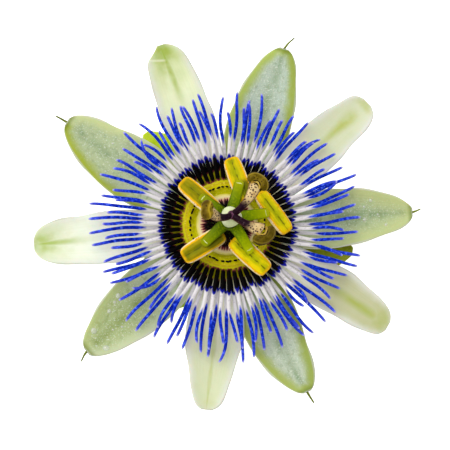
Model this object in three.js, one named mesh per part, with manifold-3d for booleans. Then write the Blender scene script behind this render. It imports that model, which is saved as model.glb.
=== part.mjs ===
// A passion flower, picked with a short end of its stalk and lying face up on its three bracts.
// Units are millimetres and +Z is up. The origin is on the surface, under the middle of the bounding box.
// Radii, angles and lengths along a blade or a filament are taken from the flower's own axis.
import * as THREE from "three";
import { mergeVertices } from "three/addons/utils/BufferGeometryUtils.js";
import Module from "manifold-3d";

const wasm = await Module();
wasm.setup();

// ---------------------------------------------------------------- driving dimensions

const SEAT_GAP = 0.3; // clearance where one piece sits on or against another
const UP = new THREE.Vector3(0, 0, 1);
const FLOWER_AXIS = new THREE.Vector3(-0.55, -1.07, 0); // its blades differ, so the box's middle is off it

// Heights of the flower's storeys above the surface.
const CUP_BASE_Z = 3.4;
const CUP_FLOOR_Z = 4.6;
const CUP_RIM_Z = 9.2;
const COLUMN_TOP_Z = 20.3;
const OVARY_HEIGHT = 5.5;

// Radii of the flower's rings.
const CUP_RADIUS = 9.6;
const CUP_WALL = 1.0;
const BLADE_ROOT_RADIUS = CUP_RADIUS + SEAT_GAP;
const CORONA_INNER_RADIUS = CUP_RADIUS + 0.1;
const THROAT_OUTER_RADIUS = CORONA_INNER_RADIUS - SEAT_GAP;
const COLUMN_RADIUS = 1.5;
const COLLAR_RADIUS = 2.6;

const STALK = { radius: 1.25, cutZ: SEAT_GAP };

// Sepals: green-edged outer blades with a horn behind each tip. A blade's sway is how far its middle
// line stands to the left of its axis two thirds along and at its tip.
const SEPAL = { z: 7.7, thickness: 0.9, edgeThickness: 0.6, rows: 10, columns: 6 };
const SEPALS = [
  { angle: 4.5, tip: 44.3, width: 14.8, sway: [0, 0], horn: { reach: 1.8, turn: 15 } },
  { angle: 72.1, tip: 45.0, width: 15.9, sway: [0, -0.4], horn: { reach: 3.1, turn: -22 } },
  { angle: 149.1, tip: 44.9, width: 16.2, sway: [-0.3, -1.2], horn: { reach: 2.8, turn: -4 } },
  { angle: 221.8, tip: 44.0, width: 15.6, sway: [0, 0.4], horn: { reach: 2.2, turn: 18 } },
  { angle: 294.6, tip: 43.0, width: 14.5, sway: [-0.35, 0.9], horn: { reach: 2.8, turn: 8 } },
];

const HORN = { rootWidth: 0.9, tipWidth: 0.4, rise: 0.6 };

// Petals: paler inner blades with a round spoon-shaped tip.
const PETAL = { z: 8.85, thickness: 0.7, edgeThickness: 0.6, rows: 10, columns: 6 };
const PETALS = [
  { angle: 41.2, tip: 44.8, width: 12.0, sway: [0, -0.15] },
  { angle: 109.8, tip: 45.4, width: 13.8, sway: [0, -0.1] },
  { angle: 186.0, tip: 44.9, width: 13.1, sway: [0, -0.45] },
  { angle: 263.7, tip: 43.2, width: 11.8, sway: [0, -0.2] },
  { angle: 329.0, tip: 44.3, width: 11.7, sway: [0.3, -0.6] },
];

// Bracts: the three green leaves under the flower, which it lies on.
const BRACT = { thickness: 0.7, rootRadius: STALK.radius + 0.35, flatShare: 1 / 3, rows: 9, columns: 6 };
const BRACTS = [
  { angle: 129.5, tip: 30.2, width: 17.5 },
  { angle: 222, tip: 29.0, width: 18.0 },
  { angle: 350, tip: 31.3, width: 19.0 },
];

// Corona: two rows of long filaments, the lower row longer than the upper one.
const CORONA_COUNT = 55;
const LOWER_ROW = {
  seed: 1, ring: { z: CUP_RIM_Z + SEAT_GAP, height: 0.9, width: 1.2 },
  rootRadius: 10.2, tipRadius: 31.5, tipSpread: 1.5, rise: 2.4, phase: 0,
};
const UPPER_ROW = {
  seed: 2, ring: { z: CUP_RIM_Z + 0.9 + 2 * SEAT_GAP, height: 0.8, width: 1.0 },
  rootRadius: 10.1, tipRadius: 28.0, tipSpread: 1.8, rise: 3.0, phase: 0.5,
};
const FILAMENT = { rootWidth: 1.0, tipWidth: 0.5, height: 0.75, steps: 4, sides: 4 };
const SWAY = { mean: 1.0, spread: 2.6, hook: 2.2 }; // degrees that a filament drifts round the axis
const LIFT_SPREAD = 0.25;

// Throat: the yellow ring inside the corona, with its row of short knobbed filaments.
const THROAT = { innerRadius: 6.2, floorHeight: 0.8, crestRadius: 9.1, crestHeight: 1.7 };
const KNOB = { count: 55, radius: 8.9, height: 1.1, neckWidth: 0.3, headWidth: 0.6 };

// Operculum: the pale ring and the fringe that closes over the nectar to the column.
const OPERCULUM = { innerRadius: 5.9, outerRadius: 7.3, height: 0.85 };
const FRINGE = { count: 40, rootRadius: 6.5, tipRadius: 2.3, rise: 0.8, rootWidth: 0.56, tipWidth: 0.18 };

// Stamens, in turn round the column: a green strap and the anther that hangs under its end.
const STRAP = {
  rootRadius: COLLAR_RADIUS + 1.6 * SEAT_GAP, width: 2.0, tipWidth: 1.4, thickness: 0.8,
  z: COLUMN_TOP_Z - 0.75, arch: 0.55, droop: 0.35,
};
const ANTHER = { length: 11.4, width: 3.9, thickness: 2.1, clearance: 1.5 * SEAT_GAP };
const STAMENS = [
  { angle: 10.7, reach: 8.9, anther: { reach: 10.5, angle: 11.3, axis: 126, pitch: 0, roll: 14 } },
  { angle: 75.4, reach: 8.9, anther: { reach: 9.9, angle: 77.5, axis: 108, pitch: 14, roll: -6 } },
  { angle: 141.5, reach: 8.4, anther: { reach: 9.1, angle: 141, axis: 138.5, pitch: 4, roll: 4 } },
  { angle: 223.4, reach: 8.2, anther: { reach: 8.6, angle: 224, axis: 211.5, pitch: 8, roll: -4 } },
  { angle: 303.4, reach: 8.8, anther: { reach: 9.6, angle: 301, axis: 317.5, pitch: 0, roll: 5 } },
];

// Styles on top of the ovary, each with a two-lobed stigma.
const STYLE = { rootRadius: 1.15, rootWidth: 1.2, endWidth: 1.9, steps: 6, sides: 8 };
const STIGMA = { half: 1.2, steps: 8, sides: 8 };
const STYLES = [
  { angle: 52.7, reach: 8.0, rise: 0.6, arch: 1.1, stigma: { arcRadius: 1.75, turn: -4, spread: 80 } },
  { angle: 179.5, reach: 5.05, rise: 4.2, arch: 0.6, stigma: { arcRadius: 1.75, turn: -14, spread: 78 } },
  { angle: 333.4, reach: 7.3, rise: 0.2, arch: 1.0, stigma: { arcRadius: 2.1, turn: -26, spread: 88 } },
];

// ---------------------------------------------------------------- materials

const material = (color, roughness) => new THREE.MeshStandardMaterial({ color, roughness, metalness: 0 });
const COLOURS = {
  stalk: material(0x8fa83c, 0.55),
  bract: material(0x9ebc3c, 0.6),
  cup: material(0xc3cf8c, 0.6),
  sepal: material(0xb7c794, 0.6),
  petal: material(0xe4ebd2, 0.55),
  corona: material(0x3346b4, 0.6),
  throat: material(0xc3c31e, 0.5),
  operculum: material(0x4a2433, 0.55),
  column: material(0x7d8a38, 0.5),
  strap: material(0x7f9a12, 0.45),
  anther: material(0xb9a511, 0.6),
  ovary: material(0xcfddb0, 0.5),
  style: material(0x3d1c26, 0.45),
  stigma: material(0x6f5f1c, 0.5),
};

// ---------------------------------------------------------------- small maths

const radians = THREE.MathUtils.degToRad;
const smooth = THREE.MathUtils.smoothstep;

/** A repeatable number from -1 to 1 for a filament's index and one of its traits. */
function scatter(index, trait) {
  const x = Math.sin(index * 12.9898 + trait * 78.233) * 43758.5453;
  return 2 * (x - Math.floor(x)) - 1;
}

/** A smooth function through [at, value] pairs. */
function through(...pairs) {
  const spline = new THREE.CubicInterpolant(pairs.map((p) => p[0]), pairs.map((p) => p[1]), 1);
  return (x) => spline.evaluate(x)[0];
}

/** The point at a radius, an angle in degrees round the axis, and a height. */
function polar(radius, degrees, z) {
  return new THREE.Vector3(radius * Math.cos(radians(degrees)), radius * Math.sin(radians(degrees)), z);
}

// ---------------------------------------------------------------- solids

/** A solid through rings of points that turn by the right hand round the way they follow each other. */
function loft(rings) {
  const sides = rings[0].length;
  const points = [];
  for (let i = 1; i < rings.length; i++) {
    for (let k = 0; k < sides; k++) {
      const next = (k + 1) % sides;
      points.push(rings[i - 1][k], rings[i - 1][next], rings[i][next]);
      points.push(rings[i - 1][k], rings[i][next], rings[i][k]);
    }
  }
  const first = rings[0];
  const last = rings[rings.length - 1];
  for (let k = 1; k < sides - 1; k++) {
    points.push(first[0], first[k + 1], first[k], last[0], last[k], last[k + 1]);
  }
  return new THREE.BufferGeometry().setFromPoints(points);
}

/**
 * Rings square to a curve; size(t) gives the oval section's width and height there. The few corners
 * stand out past the oval, so that the section keeps the oval's area.
 */
function ringsAlong(curve, steps, sides, size) {
  const corner = Math.sqrt((2 * Math.PI) / (sides * Math.sin((2 * Math.PI) / sides)));
  return Array.from({ length: steps + 1 }, (_, i) => {
    const t = i / steps;
    const along = curve.getTangent(t);
    const across = new THREE.Vector3().crossVectors(UP, along).normalize();
    const over = new THREE.Vector3().crossVectors(along, across);
    const [width, height] = size(t);
    return Array.from({ length: sides }, (_unused, k) => {
      const turn = (2 * Math.PI * (k + 0.5)) / sides;
      return curve
        .getPoint(t)
        .addScaledVector(across, (corner * width * Math.cos(turn)) / 2)
        .addScaledVector(over, (corner * height * Math.sin(turn)) / 2);
    });
  });
}

/**
 * A thin closed blade round a middle surface: middle(u, v) with u from root to tip and v from -1 to 1.
 * Its rows crowd towards the tip, where the outline is round.
 */
function blade(middle, rows, columns, thicknessAt, lowestZ = -Infinity) {
  const STEP = 1e-3;
  const ROW_CROWDING = 1.6;
  const top = [];
  const bottom = [];
  for (let i = 0; i <= rows; i++) {
    const u = 1 - (1 - i / rows) ** ROW_CROWDING;
    for (let j = 0; j <= columns; j++) {
      const v = (2 * j) / columns - 1;
      const here = middle(u, v);
      const along = middle(u + STEP, v).sub(middle(u - STEP, v));
      const across = middle(u, v + STEP).sub(middle(u, v - STEP));
      const normal = along.cross(across).normalize();
      const half = thicknessAt(u, v) / 2;
      top.push(here.clone().addScaledVector(normal, half));
      const under = here.clone().addScaledVector(normal, -half);
      under.z = Math.max(under.z, lowestZ);
      bottom.push(under);
    }
  }
  const at = (i, j) => i * (columns + 1) + j;
  const points = [];
  const quad = (a, b, c, d) => points.push(a, b, c, a, c, d);
  const wall = (a, b) => quad(top[a], bottom[a], bottom[b], top[b]);
  for (let i = 0; i < rows; i++) {
    for (let j = 0; j < columns; j++) {
      const [a, b, c, d] = [at(i, j), at(i + 1, j), at(i + 1, j + 1), at(i, j + 1)];
      quad(top[a], top[b], top[c], top[d]);
      quad(bottom[a], bottom[d], bottom[c], bottom[b]);
    }
    wall(at(i, 0), at(i + 1, 0));
    wall(at(i + 1, columns), at(i, columns));
  }
  for (let j = 0; j < columns; j++) {
    wall(at(0, j + 1), at(0, j));
    wall(at(rows, j), at(rows, j + 1));
  }
  return new THREE.BufferGeometry().setFromPoints(points);
}

/** A solid of revolution about +Z from [radius, height] points that start and end on the axis or close up. */
function turned(profile, segments) {
  const points = profile.map(([radius, z]) => new THREE.Vector2(radius, z));
  return new THREE.LatheGeometry(points, segments).rotateX(Math.PI / 2);
}

/** The geometry of several closed geometries joined into one body. */
function fused(geometries) {
  const solids = geometries.map((geometry) => {
    const position = (geometry.index ? geometry.toNonIndexed() : geometry).getAttribute("position");
    const merged = mergeVertices(new THREE.BufferGeometry().setAttribute("position", position), 1e-4);
    const triVerts = new Uint32Array(merged.index.array);
    return new wasm.Manifold(
      new wasm.Mesh({ numProp: 3, vertProperties: merged.attributes.position.array, triVerts }),
    );
  });
  const joined = wasm.Manifold.union(solids).getMesh();
  const position = new THREE.BufferAttribute(joined.vertProperties, 3);
  return new THREE.BufferGeometry()
    .setAttribute("position", position)
    .setIndex(new THREE.BufferAttribute(joined.triVerts, 1));
}

/** A named mesh turned by degrees round the axis. */
function piece(name, geometry, finish, degrees = 0) {
  const mesh = new THREE.Mesh(geometry, finish);
  mesh.name = name;
  mesh.rotation.z = radians(degrees);
  return mesh;
}

// ---------------------------------------------------------------- stalk, bracts and cup

function stalk() {
  const { radius, cutZ } = STALK;
  const topZ = CUP_BASE_Z - SEAT_GAP;
  const profile = [[0, cutZ], [radius, cutZ], [radius, topZ - 0.4], [radius + 0.1, topZ], [0, topZ]];
  return piece("stalk", turned(profile, 12), COLOURS.stalk);
}

/** A bract dips from the stalk to a low flat spot on the surface and rises again, boat-shaped, to its tip. */
function bract({ angle, tip, width }, index) {
  const root = BRACT.rootRadius;
  const length = tip - root;
  const half = BRACT.thickness / 2;
  const widthAt = through(
    [0, 0.15], [0.15, 0.4], [0.42, 0.96], [0.6, 0.94], [0.82, 0.6], [0.95, 0.28], [1, 0.1],
  );
  const lowZ = half - 0.03;
  const keelAt = through([0, 2.2], [0.17, 0.9], [0.33, lowZ], [0.48, lowZ], [0.75, 1.8], [1, 4.4]);
  const cupAt = through([0, 0.2], [0.45, 1.7], [0.8, 1.6], [1, 0.6]);
  const middle = (u, v) => {
    const y = (v * width * widthAt(u)) / 2;
    const pastFlat = Math.max(Math.abs(v) - BRACT.flatShare, 0) / (1 - BRACT.flatShare);
    return new THREE.Vector3(root + length * u, y, keelAt(u) + cupAt(u) * pastFlat ** 2);
  };
  const geometry = blade(middle, BRACT.rows, BRACT.columns, () => BRACT.thickness, 0);
  return piece(`bract_${index + 1}`, geometry, COLOURS.bract, angle);
}

function cup() {
  const inner = CUP_RADIUS - CUP_WALL;
  const profile = [
    [0, CUP_BASE_Z], [1.6, CUP_BASE_Z], [4.6, 3.9], [7.6, 5.2], [9.3, 6.7],
    [CUP_RADIUS, 7.5], [CUP_RADIUS, CUP_RIM_Z], [inner, CUP_RIM_Z],
    [inner, 7.9], [7.0, 6.3], [4.6, 5.1], [3.0, CUP_FLOOR_Z], [0, CUP_FLOOR_Z],
  ];
  return piece("flower_cup", turned(profile, 24), COLOURS.cup);
}

// ---------------------------------------------------------------- sepals and petals

/**
 * The middle surface of a sepal or petal that points along +X: its root follows the cup's round wall,
 * and keel(r) and cupping(r) give the height of its middle and how far its edges stand above that.
 */
function bladeSurface({ tip, width, sway }, widthAt, keel, cupping) {
  const length = tip - BLADE_ROOT_RADIUS;
  const middleLine = through([0, 0], [0.3, 0], [0.66, sway[0]], [1, sway[1]]);
  return (u, v) => {
    const y = (v * width * widthAt(u)) / 2 + middleLine(u);
    const wall = Math.sqrt(BLADE_ROOT_RADIUS ** 2 - Math.min(y ** 2, BLADE_ROOT_RADIUS ** 2 / 2));
    const wrap = (BLADE_ROOT_RADIUS - wall) * (1 - smooth(u, 0, 0.3));
    const x = BLADE_ROOT_RADIUS + length * u - wrap;
    return new THREE.Vector3(x, y, keel(x) + cupping(x) * (v * widthAt(u)) ** 2);
  };
}

/** A horn that starts inside a sepal near its tip and stands out past it. */
function horn({ reach, turn }, surface) {
  const root = surface(0.92, 0);
  const elbow = surface(1, 0);
  const point = surface(1, 0).add(polar(reach, turn, HORN.rise));
  const curve = new THREE.QuadraticBezierCurve3(root, elbow, point);
  const width = (t) => HORN.rootWidth + (HORN.tipWidth - HORN.rootWidth) * t;
  return loft(ringsAlong(curve, 4, 4, (t) => [width(t), width(t)]));
}

function sepal(shape, index) {
  const widthAt = through(
    [0, 0.62], [0.2, 0.86], [0.42, 1], [0.6, 0.93], [0.7, 0.82], [0.8, 0.68],
    [0.9, 0.5], [0.95, 0.36], [0.985, 0.21], [1, 0.1],
  );
  const keel = through([9, SEPAL.z], [20, SEPAL.z - 0.1], [30, 8.0], [38, 8.9], [46, 10.8]);
  const cupping = through([9, 0], [18, 0.12], [26, 0.75], [34, 1.6], [41, 1.7], [46, 0.7]);
  const surface = bladeSurface(shape, widthAt, keel, cupping);
  const thickness = (u, v) => SEPAL.thickness - (SEPAL.thickness - SEPAL.edgeThickness) * v ** 2;
  const leaf = blade(surface, SEPAL.rows, SEPAL.columns, thickness);
  const geometry = fused([leaf, horn(shape.horn, surface)]);
  return piece(`sepal_${index + 1}`, geometry, COLOURS.sepal, shape.angle);
}

function petal(shape, index) {
  const widthAt = through(
    [0, 0.6], [0.2, 0.8], [0.45, 0.98], [0.6, 0.96], [0.7, 0.88], [0.8, 0.81],
    [0.9, 0.69], [0.955, 0.53], [0.985, 0.34], [1, 0.15],
  );
  const keel = through([9, PETAL.z], [20, PETAL.z + 0.05], [30, 9.1], [38, 9.9], [46, 11.3]);
  const cupping = through([9, 0], [18, 0.1], [28, 0.5], [36, 1.0], [43, 1.6], [46, 1.0]);
  const surface = bladeSurface(shape, widthAt, keel, cupping);
  const thickness = (u, v) => PETAL.thickness - (PETAL.thickness - PETAL.edgeThickness) * v ** 2;
  const geometry = blade(surface, PETAL.rows, PETAL.columns, thickness);
  return piece(`petal_${index + 1}`, geometry, COLOURS.petal, shape.angle);
}

// ---------------------------------------------------------------- corona, throat and operculum

/** One long filament: it leaves the ring, rises, drifts round the axis and hooks a little at its tip. */
function coronaFilament(row, index) {
  const trait = (n) => scatter(index, row.seed * 10 + n);
  const pitch = 360 / CORONA_COUNT;
  const angle = pitch * (index + row.phase + 0.3 * trait(1));
  const tip = row.tipRadius + row.tipSpread * trait(2);
  const sway = SWAY.mean + SWAY.spread * trait(3);
  const hook = SWAY.hook * trait(4);
  const lift = row.rise + LIFT_SPREAD * trait(5);
  const rootZ = row.ring.z + row.ring.height / 2;
  const path = Array.from({ length: FILAMENT.steps + 1 }, (_, i) => {
    const t = i / FILAMENT.steps;
    const drift = sway * t ** 2 + hook * t ** 5;
    const z = rootZ + lift * Math.sin((Math.PI / 2) * t);
    return polar(row.rootRadius + (tip - row.rootRadius) * t, angle + drift, z);
  });
  const curve = new THREE.CatmullRomCurve3(path);
  const { rootWidth, tipWidth, height, steps, sides } = FILAMENT;
  const width = (t) => rootWidth + (tipWidth - rootWidth) * t;
  return loft(ringsAlong(curve, steps, sides, (t) => [width(t), height * (1 - 0.3 * t)]));
}

function coronaRow(name, row) {
  const { z, height, width } = row.ring;
  const inner = CORONA_INNER_RADIUS;
  const profile = [
    [inner, z], [inner + width, z], [inner + 0.8 * width, z + height], [inner, z + height], [inner, z],
  ];
  const filaments = Array.from({ length: CORONA_COUNT }, (_, i) => coronaFilament(row, i));
  return piece(name, fused([turned(profile, 36), ...filaments]), COLOURS.corona);
}

/** The yellow ring rests on the cup's rim and slopes down inwards; a row of dark knobs stands on it. */
function throatRing() {
  const baseZ = CUP_RIM_Z + SEAT_GAP;
  const { innerRadius, floorHeight, crestRadius, crestHeight } = THROAT;
  const floorZ = baseZ + floorHeight;
  const crestZ = baseZ + crestHeight;
  const profile = [
    [innerRadius, baseZ], [THROAT_OUTER_RADIUS, baseZ], [THROAT_OUTER_RADIUS, crestZ - 0.2],
    [crestRadius, crestZ], [8.5, crestZ - 0.3], [7.8, floorZ + 0.1], [7.4, floorZ],
    [innerRadius, floorZ], [innerRadius, baseZ],
  ];
  const knobs = Array.from({ length: KNOB.count }, (_, i) => {
    const angle = (360 / KNOB.count) * (i + 0.25 * scatter(i, 51));
    const foot = polar(KNOB.radius, angle, crestZ - 0.4);
    const head = polar(KNOB.radius - 0.15, angle, crestZ + KNOB.height - 0.2);
    const width = (t) => KNOB.neckWidth + (KNOB.headWidth - KNOB.neckWidth) * Math.sin(Math.PI * t);
    return loft(ringsAlong(new THREE.LineCurve3(foot, head), 2, 3, (t) => [width(t), width(t)]));
  });
  return piece("throat_ring", fused([turned(profile, 28), ...knobs]), COLOURS.throat);
}

/** The operculum: a round-topped pale ring with a fringe that leans in to the column. */
function operculum() {
  const z = CUP_RIM_Z + THROAT.floorHeight + 2 * SEAT_GAP;
  const { innerRadius, outerRadius, height } = OPERCULUM;
  const profile = [
    [innerRadius, z], [outerRadius, z], [outerRadius, z + height / 2], [6.9, z + height],
    [6.3, z + height], [innerRadius, z + height / 2], [innerRadius, z],
  ];
  const fringe = Array.from({ length: FRINGE.count }, (_, i) => {
    const angle = (360 / FRINGE.count) * (i + 0.15 * scatter(i, 61));
    const rootZ = z + height / 2;
    const root = polar(FRINGE.rootRadius, angle, rootZ);
    const crest = polar((FRINGE.rootRadius + FRINGE.tipRadius) / 2, angle, rootZ + 1.4 * FRINGE.rise);
    const tip = polar(FRINGE.tipRadius, angle + 3 * scatter(i, 62), rootZ + FRINGE.rise);
    const curve = new THREE.QuadraticBezierCurve3(root, crest, tip);
    const width = (t) => FRINGE.rootWidth + (FRINGE.tipWidth - FRINGE.rootWidth) * t;
    return loft(ringsAlong(curve, 2, 3, (t) => [width(t), width(t)]));
  });
  return piece("operculum", fused([turned(profile, 24), ...fringe]), COLOURS.operculum);
}

// ---------------------------------------------------------------- column, stamens and pistil

/** The column stands on the cup's floor, swells at its foot and spreads into a collar at its top. */
function column() {
  const footZ = CUP_FLOOR_Z + SEAT_GAP;
  const profile = [
    [0, footZ], [2.3, footZ], [2.5, footZ + 0.9], [2.0, 7.2], [1.65, 9.6],
    [COLUMN_RADIUS, 14], [COLUMN_RADIUS, 17], [1.9, 18.5],
    [COLLAR_RADIUS, COLUMN_TOP_Z - 1.2], [COLLAR_RADIUS, COLUMN_TOP_Z - 0.4],
    [2.2, COLUMN_TOP_Z], [0, COLUMN_TOP_Z],
  ];
  return piece("column", turned(profile, 16), COLOURS.column);
}

function stamenStrap({ angle, reach }, index) {
  const root = new THREE.Vector3(STRAP.rootRadius, 0, STRAP.z);
  const crest = new THREE.Vector3((STRAP.rootRadius + reach) / 2, 0, STRAP.z + 2 * STRAP.arch);
  const tip = new THREE.Vector3(reach, 0, STRAP.z - STRAP.droop);
  const curve = new THREE.QuadraticBezierCurve3(root, crest, tip);
  const geometry = loft(
    ringsAlong(curve, 5, 8, (t) => {
      const width = STRAP.width + (STRAP.tipWidth - STRAP.width) * smooth(t, 0.4, 1);
      return [width, STRAP.thickness * (1 - 0.25 * t)];
    }),
  );
  return piece(`stamen_strap_${index + 1}`, geometry, COLOURS.strap, angle);
}

/** An anther: a long pod with a low grooved back and two fuller pollen lips below. */
function anther({ anther: place }, index) {
  const { length, width, thickness } = ANTHER;
  const section = [
    [1, -0.05], [0.82, 0.62], [0.4, 0.95], [0, 0.72], [-0.4, 0.95], [-0.82, 0.62],
    [-1, -0.05], [-0.72, -0.85], [0, -1], [0.72, -0.85],
  ];
  const stations = [
    [-0.5, 0.34], [-0.44, 0.78], [-0.28, 0.97], [0, 1], [0.28, 0.95], [0.44, 0.76], [0.5, 0.32],
  ];
  const rings = stations.map(([at, size]) => {
    const halfWidth = (size * width) / 2;
    const halfThickness = (size ** 0.7 * thickness) / 2;
    return section.map(([y, z]) => new THREE.Vector3(at * length, y * halfWidth, z * halfThickness));
  });
  const mesh = piece(`anther_${index + 1}`, loft(rings), COLOURS.anther);
  const strapUnderside = STRAP.z - STRAP.droop - STRAP.thickness / 2;
  const centreZ = strapUnderside - ANTHER.clearance - thickness / 2;
  mesh.position.copy(polar(place.reach, place.angle, centreZ));
  mesh.rotation.set(radians(place.roll), radians(place.pitch), radians(place.axis), "ZYX");
  return mesh;
}

function ovary() {
  const z = COLUMN_TOP_Z + SEAT_GAP;
  const profile = [
    [0, z], [1.5, z], [2.15, z + 1.1], [2.4, z + 2.6], [2.2, z + 4.1],
    [1.6, z + 5.0], [0.8, z + OVARY_HEIGHT], [0, z + OVARY_HEIGHT],
  ];
  return piece("ovary", turned(profile, 16), COLOURS.ovary);
}

/** The line of a style, from the top of the ovary out and up or level to its stigma. */
function styleCurve({ reach, rise, arch }) {
  const rootZ = COLUMN_TOP_Z + OVARY_HEIGHT + 2 * SEAT_GAP + STYLE.rootWidth / 2;
  return new THREE.QuadraticBezierCurve3(
    new THREE.Vector3(STYLE.rootRadius, 0, rootZ),
    new THREE.Vector3((STYLE.rootRadius + reach) / 2, 0, rootZ + rise / 2 + arch),
    new THREE.Vector3(reach, 0, rootZ + rise),
  );
}

function style(shape, index) {
  const width = (t) => STYLE.rootWidth + (STYLE.endWidth - STYLE.rootWidth) * smooth(t, 0.35, 0.9);
  const rings = ringsAlong(styleCurve(shape), STYLE.steps, STYLE.sides, (t) => [width(t), width(t)]);
  return piece(`style_${index + 1}`, loft(rings), COLOURS.style, shape.angle);
}

/**
 * A stigma: a bean that bends round the end of its style, with a waist between its two lobes; its turn
 * is how far its middle stands to the left of the style's own direction.
 */
function stigma(shape, index) {
  const bean = shape.stigma;
  const curve = styleCurve(shape);
  const end = curve.getPoint(1);
  const ahead = curve.getTangent(1);
  const sideways = new THREE.Vector3(0, 1, 0);
  const rings = Array.from({ length: STIGMA.steps + 1 }, (_, i) => {
    const share = (2 * i) / STIGMA.steps - 1;
    const turn = radians(bean.turn + bean.spread * share);
    const outward = ahead.clone().multiplyScalar(Math.cos(turn)).addScaledVector(sideways, Math.sin(turn));
    const over = new THREE.Vector3().crossVectors(ahead, sideways);
    const lobes = 0.86 + 0.14 * Math.sin(Math.PI * Math.abs(share)) ** 2;
    const half = STIGMA.half * lobes * Math.sqrt(Math.max(1 - share ** 4, 0.08));
    return Array.from({ length: STIGMA.sides }, (_unused, k) => {
      const round = (2 * Math.PI * k) / STIGMA.sides;
      return end
        .clone()
        .addScaledVector(outward, bean.arcRadius + half * Math.cos(round))
        .addScaledVector(over, -half * Math.sin(round));
    });
  });
  return piece(`stigma_${index + 1}`, loft(rings), COLOURS.stigma, shape.angle);
}

// ---------------------------------------------------------------- the whole flower

const flower = new THREE.Group();
flower.position.copy(FLOWER_AXIS);
flower.add(stalk(), ...BRACTS.map(bract), cup());
flower.add(...SEPALS.map(sepal), ...PETALS.map(petal));
flower.add(coronaRow("corona_lower_row", LOWER_ROW), coronaRow("corona_upper_row", UPPER_ROW));
flower.add(throatRing(), operculum(), column());
flower.add(...STAMENS.map(stamenStrap), ...STAMENS.map(anther));
flower.add(ovary(), ...STYLES.map(style), ...STYLES.map(stigma));

export default flower;
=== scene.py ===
"""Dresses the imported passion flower: an open bloom that lies face up on its three bracts.

Sizes are millimetres and degrees in the classes below, and the bench turns them into metres. Radii and
angles are taken from the flower's own axis.
"""

import logging
import math
from collections.abc import Callable, Sequence
from dataclasses import dataclass
from enum import Enum
from functools import cache, cached_property

import bmesh
import bpy
from mathutils import Matrix, Vector

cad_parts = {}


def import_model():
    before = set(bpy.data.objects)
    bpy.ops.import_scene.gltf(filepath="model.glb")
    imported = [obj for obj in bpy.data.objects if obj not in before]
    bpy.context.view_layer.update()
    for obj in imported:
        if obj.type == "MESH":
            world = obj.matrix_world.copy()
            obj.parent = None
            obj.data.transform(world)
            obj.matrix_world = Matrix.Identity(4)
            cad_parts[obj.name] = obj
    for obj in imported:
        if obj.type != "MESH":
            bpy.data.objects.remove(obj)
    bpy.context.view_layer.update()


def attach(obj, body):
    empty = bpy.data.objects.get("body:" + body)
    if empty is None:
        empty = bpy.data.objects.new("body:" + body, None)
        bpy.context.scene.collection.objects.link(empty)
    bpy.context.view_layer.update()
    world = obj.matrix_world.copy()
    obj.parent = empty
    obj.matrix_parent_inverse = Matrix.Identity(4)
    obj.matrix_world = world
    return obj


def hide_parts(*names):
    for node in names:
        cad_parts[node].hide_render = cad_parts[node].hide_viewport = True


LOG = logging.getLogger("passion_flower")

MM = 0.001
WELD = MM / 1000
SAME_PLACE = 1e-3
AXIS = Vector((-0.55, -1.07, 0.0))
CUP_RIM_Z = 9.2
COLUMN_TOP_Z = 20.3
STYLE_Z = 26.3
SCATTER_STEPS = (12.9898, 78.233)
SCATTER_SCALE = 43758.5453
DOME_REACH = 0.5
DOME_STEPS = ((0.55, 0.8), (1.0, 0.42))
BODY = "root"
SURFACE_MAP = "surface"

Curve = Callable[[float], float]
Colour = tuple[float, float, float]
Points = Sequence[tuple[float, float]]
Material = bpy.types.Material
Node = bpy.types.Node
Socket = bpy.types.NodeSocket
Tree = bpy.types.NodeTree
Feed = float | Sequence[float] | Socket


# ---- small maths


def scatter(index: int, trait: float) -> float:
    """Gives a repeatable number from -1 to 1.

    Args:
        index: The number of the piece that it is for.
        trait: The number of the trait that it decides.

    Returns:
        The number.
    """
    x = math.sin(index * SCATTER_STEPS[0] + trait * SCATTER_STEPS[1]) * SCATTER_SCALE
    return 2 * (x - math.floor(x)) - 1


def clamp(x: float, low: float = 0.0, high: float = 1.0) -> float:
    """Keeps a number from low to high."""
    return min(max(x, low), high)


def smooth(x: float, low: float, high: float) -> float:
    """Rises smoothly from 0 at low to 1 at high."""
    t = clamp((x - low) / (high - low))
    return t * t * (3 - 2 * t)


def shares(steps: int) -> list[float]:
    """Gives even shares from 0 to 1, with both ends."""
    return [k / steps for k in range(steps + 1)]


def through(*pairs: tuple[float, float]) -> Curve:
    """Makes a smooth function through pairs of place and value, level past both ends.

    Args:
        *pairs: The places, rising, each with its value.

    Returns:
        The function.
    """
    xs = [p[0] for p in pairs]
    ys = [p[1] for p in pairs]
    last = len(xs) - 1
    slopes = []
    for i in range(len(xs)):
        a, b = max(i - 1, 0), min(i + 1, last)
        slopes.append((ys[b] - ys[a]) / (xs[b] - xs[a]))

    def value(x: float) -> float:
        """Gives the value at a place, on a cubic between the two pairs round it.

        Args:
            x: The place.

        Returns:
            The value.
        """
        x = clamp(x, xs[0], xs[last])
        i = max(k for k in range(last) if xs[k] <= x or k == 0)
        h = xs[i + 1] - xs[i]
        t = (x - xs[i]) / h
        return (
            (2 * t**3 - 3 * t**2 + 1) * ys[i]
            + (t**3 - 2 * t**2 + t) * h * slopes[i]
            + (3 * t**2 - 2 * t**3) * ys[i + 1]
            + (t**3 - t**2) * h * slopes[i + 1]
        )

    return value


def polar(radius: float, degrees: float, z: float = 0.0) -> Vector:
    """Gives the point at a radius, an angle round the axis and a height."""
    turn = math.radians(degrees)
    return Vector((radius * math.cos(turn), radius * math.sin(turn), z))


def bearing(p: Vector) -> float:
    """Gives a point's angle round the axis, in radians."""
    return math.atan2(p.y, p.x)


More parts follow.
